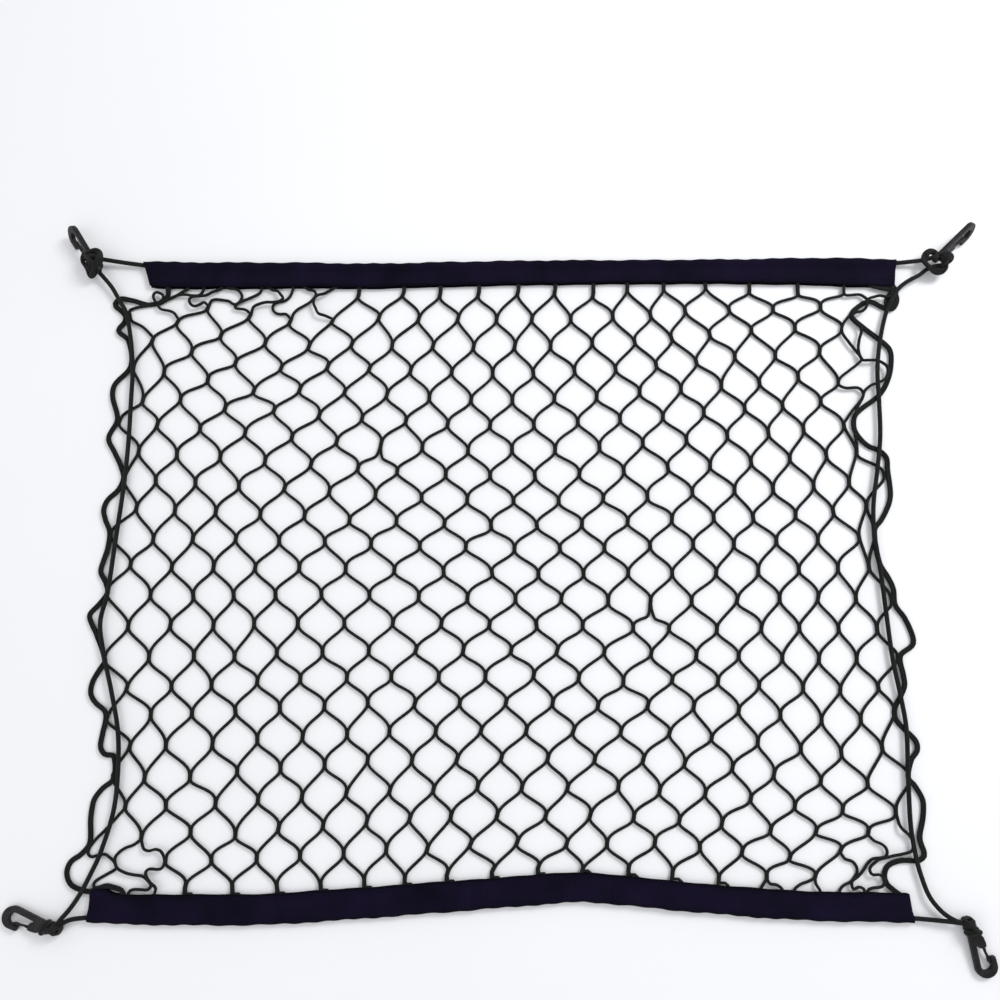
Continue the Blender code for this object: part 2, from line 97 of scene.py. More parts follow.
FREE_START = 1.5          # off a band, where loose yarns begin to lie over each other
FREE_RUN = 5.0
FREE_POINTS = 5.0         # over which a loose end comes free of its joint

# NET_ROWS, NET_LEANS and JOINT_SHIFTS were made by another program. It fitted
# the mesh to joints that it found in the photo, and to places that were read
# at the edges and in the corners.

# Where seven lines of the mesh cross every second row, (x, y), from the left
# edge to the right edge
SHARES = [0.0, 1 / 12, 0.25, 0.5, 0.75, 11 / 12, 1.0]
NET_ROWS = {
    0: ((-415.5, 305), (-328, 309), (-184.5, 308), (6.5, 312),
     (182.5, 318.5), (327.5, 315), (409.5, 311)),
    2: ((-402.5, 295), (-329.5, 269.5), (-190.5, 256.5), (2.5, 252.5),
     (190, 263), (323.5, 274.5), (408.5, 285)),
    4: ((-400.5, 235), (-344, 217), (-197.5, 203.5), (0.5, 193.5),
     (198.5, 207), (321, 219), (394.5, 232)),
    6: ((-408.5, 171), (-348, 165), (-205, 151), (0, 139),
     (202.5, 152), (325, 163.5), (360.5, 168)),
    8: ((-401.5, 108), (-348, 105.5), (-211, 96.5), (1, 85),
     (207, 95), (327.5, 102.5), (384.5, 113)),
    10: ((-410.5, 50), (-346.5, 46), (-215.5, 43), (2.5, 34.5),
     (207.5, 40), (332, 45), (372.5, 53)),
    12: ((-411.5, -10), (-345, -14), (-217.5, -12), (2.5, -16.5),
     (206.5, -18.5), (330, -15.5), (384.5, -19)),
    14: ((-409.5, -78), (-342, -75.5), (-214.5, -70.5), (-1.5, -69),
     (206, -74.5), (328, -78), (387.5, -76)),
    16: ((-403.5, -136), (-341.5, -133.5), (-210, -125.5), (-6.5, -121.5),
     (203, -126.5), (327, -140), (380.5, -130)),
    18: ((-394.5, -190), (-339.5, -195.5), (-207.5, -183.5), (-11, -176),
     (195, -182.5), (325, -200), (391.5, -194)),
    20: ((-410.5, -253), (-338, -249.5), (-207, -241.5), (-15, -231),
     (185.5, -237), (320, -248), (398.5, -251)),
    22: ((-414.5, -300), (-339.5, -296.5), (-207, -299.5), (-19.5, -282),
     (177.5, -287.5), (313.5, -290), (370.5, -289)),
}

# How far the joints lean there, in degrees, with the lower end to the left
NET_LEANS = {
    0: (24, 22, 15, 13, -5, -2, -8),
    2: (14, 18, 19, 2, -11, 4, 0),
    4: (10, 9, 17, 1, -3, 2, 6),
    6: (10, 4, 13, -1, -1, -1, 3),
    8: (8, -1, 8, -1, 0, -3, -2),
    10: (6, 4, 2, 1, 1, 0, -3),
    12: (2, -2, 0, 1, 5, 1, -5),
    14: (2, 0, -1, 8, 5, 0, -5),
    16: (8, -1, 0, 11, 8, -1, -7),
    18: (17, 2, 2, 12, 13, 5, -9),
    20: (16, 2, 8, 13, 12, 13, 2),
    22: (6, 12, -11, 22, 4, 18, 25),
}

# Joints that lie off that lattice: row, column place, x shift, y shift
JOINT_SHIFTS = [
    (0, 1, 22, 0.5), (0, 2, 12, -8), (0, 3, 5, -7), (0, 4, -2.5, -1.5), (0, 6, 3.5, 2), (0, 11, 2.5, -5.5),
    (0, 14, 1.5, 0.5), (0, 15, 0.5, -3), (0, 16, 2, -3.5), (1, 0.5, 5, 1), (1, 1.5, 5.5, 5),
    (1, 2.5, 2, -0.5), (1, 3.5, -2, -4), (1, 4.5, -2.5, -2), (1, 5.5, 3, 3), (1, 6.5, 2, 1.5),
    (1, 7.5, 1.5, 2.5), (1, 9.5, -3.5, 0), (1, 10.5, -2.5, -2), (1, 11.5, 2.5, -1), (1, 12.5, 2.5, -2),
    (1, 13.5, -2.5, 2), (1, 16.5, 2, 0.5), (2, 0, -2, -7.5), (2, 1, 0, 3.5), (2, 2, -1, -1),
    (2, 3, -1, -4.5), (2, 4, -1, -5.5), (2, 10, -3.5, -1.5), (2, 12, 2.5, -1.5), (2, 14, -2.5, 1),
    (2, 15, -1.5, 2.5), (2, 17, -1, -5.5), (3, 1.5, -0.5, 2), (3, 2.5, -1, -2.5), (3, 3.5, -1.5, -4.5),
    (3, 14.5, -1.5, 2.5), (3, 16.5, 2.5, -0.5), (4, 0, 3, -6.5), (4, 1, -0.5, 2.5), (4, 2, 2, 2),
    (4, 3, 1, -5.5), (4, 16, 0.5, 2), (4, 17, -2, -9.5), (5, 0.5, 0.5, -6.5), (5, 1.5, 0.5, 2.5),
    (5, 2.5, 0, -1.5), (5, 3.5, 1.5, 1.5), (6, 7, -2.5, 0), (6, 16, -3.5, -0.5), (6, 17, 6, 1),
    (6, 18, -4, 0.5), (7, 5.5, 2.5, 0), (7, 6.5, -3.5, 0), (8, 16, 3, 0.5), (9, 5.5, -0.5, -2.5),
    (9, 14.5, -3, -2), (10, 1, 1, -2), (10, 8, -2, 1.5), (10, 14, -3, -1), (10, 15, -2.5, 1),
    (10, 17, 7, 0), (12, 11, 2, -1), (12, 13, -3, -0.5), (13, 1.5, -1.5, 2), (13, 11.5, 5, -1),
    (13, 12.5, -4, -0.5), (13, 14.5, 2.5, 0.5), (14, 3, 0, -2.5), (14, 15, 2.5, -0.5), (14, 17, -2.5, 0),
    (15, 2.5, -2, -2), (15, 9.5, 2, 1.5), (15, 11.5, -2.5, -3), (15, 15.5, 2.5, 0), (16, 1, 2.5, 1.5),
    (16, 6, -1.5, 2), (16, 11, -2, -2), (17, 1.5, -3, 1), (17, 6.5, -2, 1), (17, 12.5, 2, 1),
    (17, 13.5, -2, -2), (18, 1, -4, -0.5), (18, 3, 2.5, 1.5), (18, 6, -1, 2.5), (18, 12, 2.5, 1.5),
    (18, 13, -2.5, -0.5), (18, 15, -2.5, 0.5), (18, 17, 2.5, -1), (19, 1.5, -2, 1.5), (19, 2.5, 3, 0.5),
    (19, 11.5, 4.5, 2), (19, 15.5, -1, -2), (19, 16.5, 1, -0.5), (19, 17.5, 3.5, -3), (20, 1, -1.5, -2),
    (20, 2, 0.5, 1.5), (20, 3, 0.5, -4.5), (20, 8, -2.5, 0), (20, 10, 3.5, 0), (20, 11, 2.5, 1),
    (20, 14, -3, -1), (20, 15, 0.5, -3), (20, 17, 2.5, 2), (21, 2.5, 0, -1.5), (21, 7.5, -2.5, -3),
    (21, 8.5, -2.5, -1), (21, 10.5, 4.5, -1), (21, 12.5, 2, 4), (21, 14.5, -2.5, -1),
    (21, 15.5, -1.5, -4.5), (21, 16.5, 3, 5), (22, 1, 9.5, 4.5), (22, 2, -1, -1.5), (22, 7, -2, -2),
    (22, 8, -2, -1.5), (22, 10, 1.5, 2), (22, 12, 1.5, 3), (22, 14, 0, -3.5), (22, 16, 2, 0.5),
    (22, 17, -3, -1),
]

# Strands that hang slack under a joint before they part, by yarn and the row
# that they run to: x and y of the bend, and its direction
SLACK_STRANDS = {
    (23, 13): (136.6, -34.5, -0.55, -0.83),
    (24, 13): (143.4, -36.0, 0.35, -0.94),
    (11, 7): (-141.0, 132.5, -0.65, -0.76),
    (12, 7): (-134.3, 130.5, 0.35, -0.94),
}

# The mesh's thick side edges, (x, y), from the top band to the bottom one
LEFT_SELVEDGE = [
    (-366.5, 321), (-365, 312.5), (-365.5, 308), (-369.5, 303), (-376, 300), (-385.5, 298.5), (-392, 300),
    (-399.5, 302.5), (-406, 304), (-414.5, 305.5), (-420.5, 301), (-420, 296.5), (-414, 291.5),
    (-409, 285.5), (-409.5, 279.5), (-415.5, 269.5), (-404.5, 258.5), (-400.5, 230), (-416, 210),
    (-417.5, 197), (-411, 172), (-419, 152), (-412, 137), (-405, 123), (-401, 109.5), (-405.5, 97),
    (-416, 86), (-419.5, 75.5), (-417, 65), (-412, 52.5), (-413, 35), (-416.5, 22), (-418.5, 11),
    (-413, 0.5), (-410.5, -10.5), (-418, -22), (-427, -33), (-424.5, -42), (-419, -52.5), (-409, -79.5),
    (-413.5, -88), (-420, -101), (-421, -112.5), (-415.5, -121.5), (-406, -129.5), (-404.5, -137.5),
    (-407, -153), (-408, -165), (-403.5, -172), (-394.5, -174), (-393.5, -196), (-403.5, -205),
    (-411, -215.5), (-413, -226), (-413.5, -235), (-413, -258), (-420.5, -268), (-430.5, -275.5),
    (-433.5, -286), (-429, -296.5), (-418, -302), (-406.5, -304), (-396.5, -308),
]
RIGHT_SELVEDGE = [
    (399.5, 324), (408, 315.5), (405.5, 302), (398, 294), (379.5, 302), (364.5, 294), (359.5, 286),
    (371.5, 273), (386.5, 260.5), (397.5, 249.5), (399, 237.5), (395, 217.5), (384.5, 199), (364.5, 183.5),
    (357, 175), (356, 162), (361, 152), (369.5, 143.5), (380.5, 138.5), (387.5, 131), (388, 118),
    (389.5, 92.5), (386.5, 80), (378.5, 65), (371, 54.5), (374, 20.5), (382, 5), (386.5, -6.5),
    (387.5, -23), (396, -36), (403, -54.5), (402.5, -63.5), (389.5, -74.5), (391.5, -95), (392, -104),
    (388, -113.5), (380.5, -127.5), (381.5, -138.5), (390, -148.5), (399.5, -159), (400.5, -168),
    (394, -177.5), (390, -195), (395.5, -202), (402.5, -215.5), (403, -224), (401.5, -235), (397.5, -253),
    (401, -269), (395, -274), (378.5, -274), (365.5, -278.5), (361, -287), (362.5, -295.5), (369, -302),
    (377.5, -308),
]

# Loose loops of the side edges at the bands: yarns side by side, (x, y)
EDGE_LOOPS = [
    (1, [
        (-376, 300), (-370.5, 305), (-370.5, 309), (-374.5, 312), (-378.5, 312.5), (-381, 309.5),
        (-380, 305), (-377, 300),
    ]),
    (2, [
        (382, 321), (386, 319.5), (397, 317), (405.5, 314.5), (409, 304.5), (405.5, 295.5), (400, 293.5),
        (397.5, 301), (401, 309), (405.5, 314.5),
    ]),
    (2, [
        (-408, -308.5), (-406.5, -301), (-402.5, -300.5), (-394, -298), (-387, -299.5), (-380.5, -301.5),
        (-377.5, -305), (-377, -310.5),
    ]),
]

# Yarns that wander near the corners, from the top band down to a joint of a
# row, and from a joint of a row down to the bottom band
YARN_HEADS = {
    0: (3, [
        (-344, 321), (-344, 316.5), (-348.5, 314), (-356, 309), (-363.5, 305), (-376, 299), (-388.5, 297),
        (-397, 295.5), (-405, 292), (-404, 286.5), (-402.5, 281), (-397, 277.5), (-390.5, 274), (-385, 269),
    ]),
    1: (2, [
        (-328, 321), (-327.5, 316), (-327.5, 312.5), (-331.5, 309.5), (-339.5, 309), (-347, 310),
        (-354.5, 309.5), (-361, 306.5), (-368, 303), (-375.5, 299.5), (-375.5, 296.5), (-372.5, 294),
        (-367, 292.5), (-362, 291.5), (-357.5, 289),
    ]),
    2: (1, [
        (-309, 321), (-308.5, 317), (-311.5, 316), (-318, 313), (-324.5, 309.5), (-330.5, 308.5),
        (-337, 308), (-341.5, 306.5), (-342.5, 303), (-340.5, 299), (-336.5, 297), (-331, 299),
        (-326.5, 301.5),
    ]),
    3: (1, [
        (-302.5, 321), (-302, 317.5), (-294, 316.5), (-289, 313), (-286.5, 308), (-288, 303), (-292.5, 299),
        (-296, 299.5), (-300, 302.5), (-305, 303.5), (-315, 304.5), (-319, 303),
    ]),
    4: (1, [
        (-265.5, 321), (-265.5, 317.5), (-267, 312.5), (-271, 309.5), (-278, 306), (-285, 303), (-292, 299),
        (-293.5, 295), (-290.5, 294), (-282.5, 293),
    ]),
    5: (1, [
        (-262, 321), (-262, 317.5), (-255, 315.5), (-249, 314), (-245.5, 310), (-243, 306), (-246, 303),
        (-253, 301.5), (-260.5, 301.5), (-268, 299.5), (-274, 296),
    ]),
    6: (1, [
        (-233, 321), (-232.5, 317.5), (-234, 311), (-236.5, 306.5), (-241, 303), (-246.5, 301.5),
        (-252.5, 299), (-253.5, 294), (-250.5, 289.5), (-245.5, 288), (-239, 288),
    ]),
    7: (1, [
        (-222.5, 321), (-217, 316), (-210, 314), (-208, 310), (-210.5, 305.5), (-214, 301.5), (-220, 297.5),
        (-226, 294), (-231, 289),
    ]),
    8: (1, [
        (-185, 320), (-198.5, 311.5), (-206, 309.5), (-209.5, 306.5), (-210.5, 301), (-208, 294.5),
        (-205, 289), (-198, 286.5),
    ]),
    34: (6, [
        (353.5, 321), (353, 314.5), (354.5, 309.5), (369.5, 310), (375.5, 306.5), (378, 303.5),
        (371, 300.5), (362, 291), (355.5, 284), (350, 276), (349, 267.5), (355, 257.5), (364.5, 244),
        (368, 238), (363, 232.5), (354, 225.5), (344, 217), (342.5, 210), (349, 206.5), (362.5, 206.5),
        (367.5, 201), (365.5, 194.5), (355, 181.5),
    ]),
    35: (6, [
        (406, 320), (404.5, 313.5), (401, 307.5), (391.5, 309), (386.5, 308), (378.5, 305), (377, 300),
        (376, 296), (371.5, 291.5), (364.5, 290), (360, 285), (366.5, 277.5), (369.5, 270.5),
        (366.5, 259.5), (365, 248.5), (368.5, 237.5), (375, 237), (384.5, 236.5), (393.5, 231), (395, 224),
        (391.5, 216.5), (383, 212), (375.5, 209), (369, 203), (366.5, 195.5), (360.5, 185),
    ]),
}
YARN_TAILS = {
    0: (19, [
        (-398.5, -245), (-405.5, -252), (-410, -257.5), (-413, -262), (-414, -267.5), (-411, -270.5),
        (-407, -270), (-398, -268), (-393, -271), (-388, -275.5), (-386, -281.5), (-393.5, -286.5),
        (-403, -292), (-406.5, -295.5), (-406, -301), (-405.5, -309.5),
    ]),
    1: (20, [
        (-370.5, -259.5), (-377.5, -262), (-384, -266.5), (-387.5, -272), (-385.5, -280.5), (-383, -282),
        (-377, -285.5), (-369, -287.5), (-359.5, -289), (-354.5, -293), (-351, -298), (-354, -301.5),
        (-360.5, -301.5), (-368.5, -301.5), (-372, -303.5), (-373.5, -309.5),
    ]),
    2: (20, [
        (-360, -263), (-355, -265), (-348.5, -263.5), (-343, -265.5), (-339, -274), (-341, -281),
        (-345, -282.5), (-353, -282), (-356.5, -284), (-356.5, -288.5), (-352, -295), (-346.5, -300),
        (-347.5, -306), (-348, -310.5),
    ]),
    29: (22, [
        (241, -299.5), (237.5, -307),
    ]),
    30: (22, [
        (249.5, -296), (255.5, -297), (261, -301), (262, -308.5),
    ]),
    31: (22, [
        (292.5, -294), (286, -294), (279, -296.5), (273, -301.5), (271.5, -308.5),
    ]),
    32: (22, [
        (294, -296), (298, -303), (298.5, -309.5),
    ]),
    33: (21, [
        (323.5, -272.5), (330.5, -275), (334.5, -280.5), (334, -286.5), (327.5, -294.5), (323.5, -296),
        (318.5, -299.5), (316, -304.5), (315, -310.5),
    ]),
    34: (20, [
        (353, -255.5), (359, -258), (363.5, -261.5), (365, -266.5), (363, -270.5), (358.5, -271.5),
        (350.5, -272.5), (346, -276), (340.5, -283.5), (335.5, -289), (329, -294), (327.5, -297),
        (330, -301), (336, -299), (340.5, -301.5), (340, -310.5),
    ]),
    35: (19, [
        (378.5, -240), (381.5, -244.5), (387, -249.5), (390, -255.5), (389.5, -264.5), (380, -268),
        (371.5, -269.5), (363.5, -271.5), (357, -273), (353, -275.5), (347.5, -280.5), (347, -284),
        (349.5, -287.5), (356.5, -287.5), (360, -290.5), (360.5, -296), (357, -299), (349, -300),
        (344.5, -302), (343, -305), (343, -310.5),
    ]),
}

# How a yarn without a tail turns along the bottom band's open edge, (x, y)
HEM_TURN = [(1.0, 1.2), (5.5, 1.0), (8.5, -1.5)]
HEM_GAP = 0.6

# ---------------------------------------------------------------- bands

BAND_WIDTH = 27.0
CLOTH = 1.2               # one layer of the folded strip
CORD_ROOM = 0.6           # between the fold and the cord in it
THROAT = 12.0             # the cord's room, in from the fold
FOLD_STEPS = 10
BAND_STEP = 3.0
# Small waves along a band, (height, run)
SCALLOPS = [(0.38, 3.4), (0.35, 11.5)]
SCALLOP_WANDER = (1.7, 31)
EDGE_WAVES = [(0.25, 6.1), (0.2, 17)]
PUCKER = (0.22, 2.9)
PUCKER_REACH = 4          # in from the open edge, and about as wide
FOLD_SHADE_REACH = 2.2         # how far in the painted shade of the cloth reaches at the fold; the next line is its reach at the open edge
OPEN_SHADE_REACH = 1.6
BAND_SEEDS = {"top_band": 5, "bottom_band": 6}
HEADER_INSETS = (24.0, 11.0)  # of a yarn's end inside the band, in from the fold
HEADER_RISE = 1.35
HEADER_MARGIN = 6
BAND_REACH = 40.0         # an end that is nearer than this to a fold goes into the band
STITCH_STEP = 3.8
STITCH_INSET = 3.4        # from the open edge
STITCH_MARGIN = 9
STITCH_HALVES = (1.45, 0.36, 0.3)
STITCH_LEAN = 0.05
STITCH_LIFT = 0.12

TOP_FOLD = [
    (-391, 345), (-342.5, 344), (-218.5, 343.5), (-148.5, 342.5), (-58.5, 344.5), (33.5, 346),
    (142.5, 346.5), (245.5, 347.5), (328.5, 349), (408, 347.5),
]
BOTTOM_FOLD = [
    (-409, -331), (-373.5, -333), (-298.5, -334), (-238.5, -333.5), (-176.5, -330), (-85.5, -323.5),
    (-13.5, -318), (45.5, -313.5), (67.5, -312.5), (97.5, -314.5), (142.5, -319), (183.5, -322.5),
    (246.5, -327.5), (299.5, -330), (385, -331.5),
]
BANDS = {
    # name: fold line, side the fold faces, x shift of the open edge at each end
    "top_band": (TOP_FOLD, 1, (8.0, -3.0)),
    "bottom_band": (BOTTOM_FOLD, -1, (2.0, -3.2)),
}
# How much wider a band lies than its plain width, (x, more)
BAND_SPREAD = {
    "top_band": [(-391, 0.5), (-340, 1.3), (-150, -0.5), (0, -1), (176, -1.7), (275, 0),
                 (345, 3.2), (408, 3.5)],
    "bottom_band": [(-409, 2), (-404, 4.5), (-393, 4.8), (-385, 1), (-340, 1), (-170, 1.7),
                    (0, 1), (180, 0), (385, 0)],
}
BAND_SLANT_RUN = 14.0
BAND_STATIONS = 20        # of the solids' cord route inside the fold

# ---------------------------------------------------------------- border cord

LEFT_SIDE = [
    (-426, 319), (-418, 306), (-408, 287.5), (-399, 236.5), (-398, 186), (-398.5, 136), (-401, 93),
    (-405.5, 44), (-410.5, -11), (-416, -41), (-410.5, -72.5), (-400, -112.5), (-392, -148.5),
    (-389.5, -185), (-391.5, -226), (-402, -267), (-409.5, -285), (-418.5, -304), (-427.5, -318.5),
]
RIGHT_SIDE = [
    (435, 332.5), (420, 324), (410, 315), (399, 296), (390, 266), (384, 229), (383.5, 191), (382.5, 153.5),
    (377.5, 118), (371.5, 82), (370.5, 52), (374.5, 14), (378, -33), (381.5, -76.5), (387, -112.5),
    (391, -146), (390, -191), (389.5, -241), (393.5, -275), (398.5, -295), (403.5, -308), (411.5, -319),
    (420, -326.5),
]

# ---------------------------------------------------------------- hitches

CORD_ROUNDNESS = 4
TURN_STEPS = 7            # points on each quarter of a turn
HITCH_SINK = 0.2          # how far a turn is pressed onto the hook's neck
KNOT_INSIDE = (8.0, -7.0, 0.0)
STRAND_STEP = 1.2         # between the points of a hitch's strand
# A strand that crosses over the turns, in the hook's own (p, q, up)
HITCH_OVER = [
    (3.5, -11.0, 0), (4.5, -10.3, 4.5), (7.0, -8.0, 7.4), (10.5, -5.4, 7.6), (13.2, -3.0, 5.0),
    (14.2, -2.0, 0.5),
]
# The strands that show over the top hooks' necks, (x, y, z)
HITCHES = {
    "top_left": [
        [(-449.5, 347.5, 15), (-443.5, 347, 19), (-438.5, 348.5, 20), (-434.5, 349, 20),
         (-432, 348, 18), (-431.5, 344.5, 16), (-432.5, 340, 14), (-434.5, 335.5, 12), (-437.5, 332.5, 10),
         (-440.5, 328.5, 9), (-444, 326, 8), (-446, 328, 9), (-447, 332, 10), (-449.5, 336.5, 11),
         (-452, 340.5, 12), (-451.5, 344.5, 14),
         (-449.5, 347.5, 15)],
        [(-431.5, 347, 19), (-431.5, 339.5, 22), (-433.5, 335, 21.5), (-435.5, 331.5, 19),
         (-439.5, 328.5, 14), (-443.5, 326, 10)],
        [(-448, 345.5, 17), (-443, 341, 20), (-438, 335.5, 22), (-435.5, 332.5, 20),
         (-435.5, 331.5, 13), (-436.5, 331.5, 8)],
        [(-433, 345, 9), (-433, 342.5, 17), (-435.5, 341.5, 21.5), (-441, 342.5, 20),
         (-446.5, 343, 16), (-451.5, 343, 12)],
        [(-443.5, 346.5, 14), (-439.5, 347, 17), (-435, 346.5, 19), (-431.5, 344, 20),
         (-431, 339, 21), (-433, 336, 20)],
        [(-447, 336.5, 13), (-444.5, 333, 13), (-442.5, 329.5, 12), (-441.5, 327, 10)],
    ],
    "top_right": [
        [(436.5, 344, 9), (441.5, 345, 11), (446.5, 346, 13), (449.5, 345.5, 17),
         (453, 344.5, 21), (458, 343, 21), (462, 342.5, 15), (461.5, 342, 9), (458, 344, 7),
         (454.5, 347, 7)],
        [(455.5, 344.5, 9), (449.5, 345, 13), (447.5, 349, 13), (445.5, 353, 11),
         (441.5, 354, 10), (437.5, 351.5, 9), (435.5, 347, 9), (435, 341.5, 11), (437, 336.5, 13),
         (440, 333, 13), (444, 330.5, 11), (449, 329, 10), (454.5, 330.5, 10), (457.5, 334.5, 11),
         (456, 337, 15), (454, 340, 20),
         (451.5, 344, 20), (452, 349.5, 13)],
        [(439.5, 346.5, 8), (439, 349, 10), (440.5, 351, 11), (443, 352, 11), (445.5, 351, 11),
         (448, 348.5, 10)],
        [(444.5, 335, 10), (447.5, 331.5, 11), (451.5, 332, 11), (455, 335, 11), (455.5, 338, 12)],
        [(438, 333.5, 9), (444, 336, 10), (449, 336.5, 11), (452, 336, 14),
         (453, 337.5, 19), (455, 340, 22), (455.5, 345.5, 20), (456, 352, 12)],
    ],
}

# ---------------------------------------------------------------- hooks

# p runs from the eye end to the bend, q from the back arm to the tip
HOOK_LENGTH = 61.0
HOOK_WIDTH = 21.5
HOOK_THICK = 5.0
ARM = 5.4
BEND_WEB = 7.4
TIP_END = 41.5
EYE_END_WIDTH = 7.4
NECK_END = 11.8
BODY_END = (22.0, 3.2)
EYE_HOLE = (3.4, 9.6, 3.4)
NOSE = (27.5, 4.2)
GATE_PIVOT = (33.2, 1.9)
GATE_ROOT = 1.3
GATE_THICK = 4.4
KNOT_PLACE = 7.5
HITCH = 4.6
HITCH_TUCK = 2.8

# The turns round a hook's neck: place along the hook, lean in degrees
BOTTOM_TURNS = [(4.6, 10), (8.6, -6), (12.6, 3), (16.4, -4)]
HOOKS = {
    "top_left": {
        "bend": (-462.8, 369.5), "heading": 121.5, "roll": -55,
        "bend_height": 11.0, "eye_height": 7.6,
        "turns": [(7.0, 0), (11.0, 0), (15.0, 0)],
        "band_cord": (-433, 345, 9.0), "side_cord": (-436.5, 331.5, 8.0),
        "band_end": (-433, 342.5, 17.0), "side_end": (-435.5, 331.5, 13.0),
    },
    "top_right": {
        "bend": (481.84, 373.6), "heading": 44, "roll": -112,
        "bend_height": 11.4, "eye_height": 7.4,
        "turns": [],
        "band_cord": (437, 344.5, 8.5), "side_cord": (438.5, 334, 8.5),
        "band_end": (441.5, 345, 11.0), "side_end": (443.5, 335.8, 9.9),
    },
    "bottom_left": {
        "bend": (-480.5, -326.5), "heading": 157, "roll": 0,
        "bend_height": 3.5, "eye_height": 7.5,
        "turns": BOTTOM_TURNS,
        "band_cord": (-425, -328.5, 7.5), "side_cord": (-432.5, -327.5, 8.0),
    },
    "bottom_right": {
        "bend": (451.5, -371.77), "heading": -78, "roll": 0,
        "bend_height": 3.6, "eye_height": 7.8,
        "turns": BOTTOM_TURNS,
        "band_cord": (420, -330, 8.0), "side_cord": (425, -329.5, 9.0),
    },
}

# ---------------------------------------------------------------- studio

# In metres
FLOOR_HALF = 6.0
FLOOR_DROP = 0.0002
CAMERA_AIM = (-0.0125, -0.025, 0.0)
CAMERA_LENS = 31.6
CAMERA_SENSOR = 36.0
CAMERA_SHIFT = 0.107
AIR_COLOUR = (0.97, 0.97, 1.0, 1.0)
AIR_STRENGTH = 0.75
LIGHTS = [
    # name, place, size, power
    ("key", (1.3, 1.1, 1.6), 0.8, 27.0),
    ("fill", (-1.2, -1.0, 1.9), 1.8, 8.5),
]

# ---------------------------------------------------------------- settings


class NettingSettings(bpy.types.PropertyGroup):
    yarn: bpy.props.FloatProperty(
        name="Yarn thickness", description="Across one knitted strand",
        default=0.0031, min=0.001, max=0.006, unit="LENGTH")
    joint: bpy.props.FloatProperty(
        name="Joint length", description="How far two strands run side by side",
        default=0.0050, min=0.003, max=0.02, unit="LENGTH")
    nip: bpy.props.FloatProperty(
        name="Joint nip", description="Spread of a joint's two strands, as a share of their radius",
        default=0.42, min=0.2, max=1.0)
    colour: bpy.props.FloatVectorProperty(
        name="Yarn colour", description="Dyed colour of the strands",
        default=(0.0075, 0.0090, 0.0078), min=0.0, max=1.0, subtype="COLOR")


class BandSettings(bpy.types.PropertyGroup):
    width: bpy.props.FloatProperty(
        name="Band width", description="From the fold to the open edge",
        default=0.027, min=0.02, max=0.04, unit="LENGTH")
    cloth: bpy.props.FloatProperty(
        name="Cloth thickness", description="One layer of the folded strip",
        default=0.0012, min=0.0005, max=0.003, unit="LENGTH")
    colour: bpy.props.FloatVectorProperty(
        name="Cloth colour", description="Dyed colour of the woven strip",
        default=(0.0040, 0.0026, 0.0105), min=0.0, max=1.0, subtype="COLOR")


class CordSettings(bpy.types.PropertyGroup):
    thickness: bpy.props.FloatProperty(
        name="Cord thickness", description="Across the braided elastic cord",
        default=0.0045, min=0.002, max=0.008, unit="LENGTH")
    colour: bpy.props.FloatVectorProperty(
        name="Cord colour", description="Colour of the braided cover",
        default=(0.0085, 0.0090, 0.0085), min=0.0, max=1.0, subtype="COLOR")


class HookSettings(bpy.types.PropertyGroup):
    rounding: bpy.props.IntProperty(
        name="Rounding", description="Passes that soften the moulding's edges",
        default=7, min=0, max=30)
    grain: bpy.props.FloatProperty(
        name="Moulding grid", description="Mesh size of the moulding",
        default=0.00045, min=0.0002, max=0.001, unit="LENGTH")
    colour: bpy.props.FloatVectorProperty(
        name="Plastic colour", description="Colour of the moulded plastic",
        default=(0.0072, 0.0066, 0.0076), min=0.0, max=1.0, subtype="COLOR")


class StudioSettings(bpy.types.PropertyGroup):
    reach: bpy.props.FloatProperty(
        name="Camera distance", description="From the camera to the floor under its aim",
        default=0.888, min=0.3, max=3.0, unit="LENGTH")
    lean: bpy.props.FloatProperty(
        name="Camera lean", description="Angle from straight above",
        default=math.radians(7.7), min=0.0, max=1.0, unit="ROTATION")
    floor: bpy.props.FloatVectorProperty(
        name="Floor colour", description="Colour of the paper under the net",
        default=(0.86, 0.87, 0.88), min=0.0, max=1.0, subtype="COLOR")


# ---------------------------------------------------------------- shared shapes


def clamp(value):
    return min(max(value, 0.0), 1.0)


def hermite(start, leaving, end, arriving, t):
    """A smooth curve with a given speed at each end, at t of its way."""
    return (start * (2 * t**3 - 3 * t**2 + 1) + leaving * (t**3 - 2 * t**2 + t)
            + end * (3 * t**2 - 2 * t**3) + arriving * (t**3 - t**2))


def spline(knots, values, at):
    """A smooth curve through values at uneven knots, read at one place."""
    last = len(knots) - 1
    at = min(max(at, knots[0]), knots[last])
    i = 0
    while i < last - 1 and at > knots[i + 1]:
        i += 1

    def slope(k):
        low, high = max(k - 1, 0), min(k + 1, last)
        return (values[high] - values[low]) / (knots[high] - knots[low])

    span = knots[i + 1] - knots[i]
    return hermite(values[i], slope(i) * span, values[i + 1], slope(i + 1) * span,
                   (at - knots[i]) / span)


def arc(centre, radius, first, last, steps):
    """Points on an arc between two angles in degrees."""
    turns = [math.radians(first + (last - first) * i / steps) for i in range(steps + 1)]
    return [(centre[0] + radius * math.cos(t), centre[1] + radius * math.sin(t)) for t in turns]


def close_loop(bm, verts):
    """The edges of a closed outline through the verts."""
    return [bm.edges.new((a, b)) for a, b in zip(verts, verts[1:] + verts[:1])]


def smooth_route(points, step=ROUTE_STEP):
    """Even points along a smooth curve through the route's own points."""
    points = [Vector(p) for p in points]
    lengths = [0.0]
    for a, b in zip(points, points[1:]):
        lengths.append(lengths[-1] + (b - a).length)
    count = max(2, round(lengths[-1] / step))
    return [spline(lengths, points, lengths[-1] * i / count) for i in range(count + 1)]


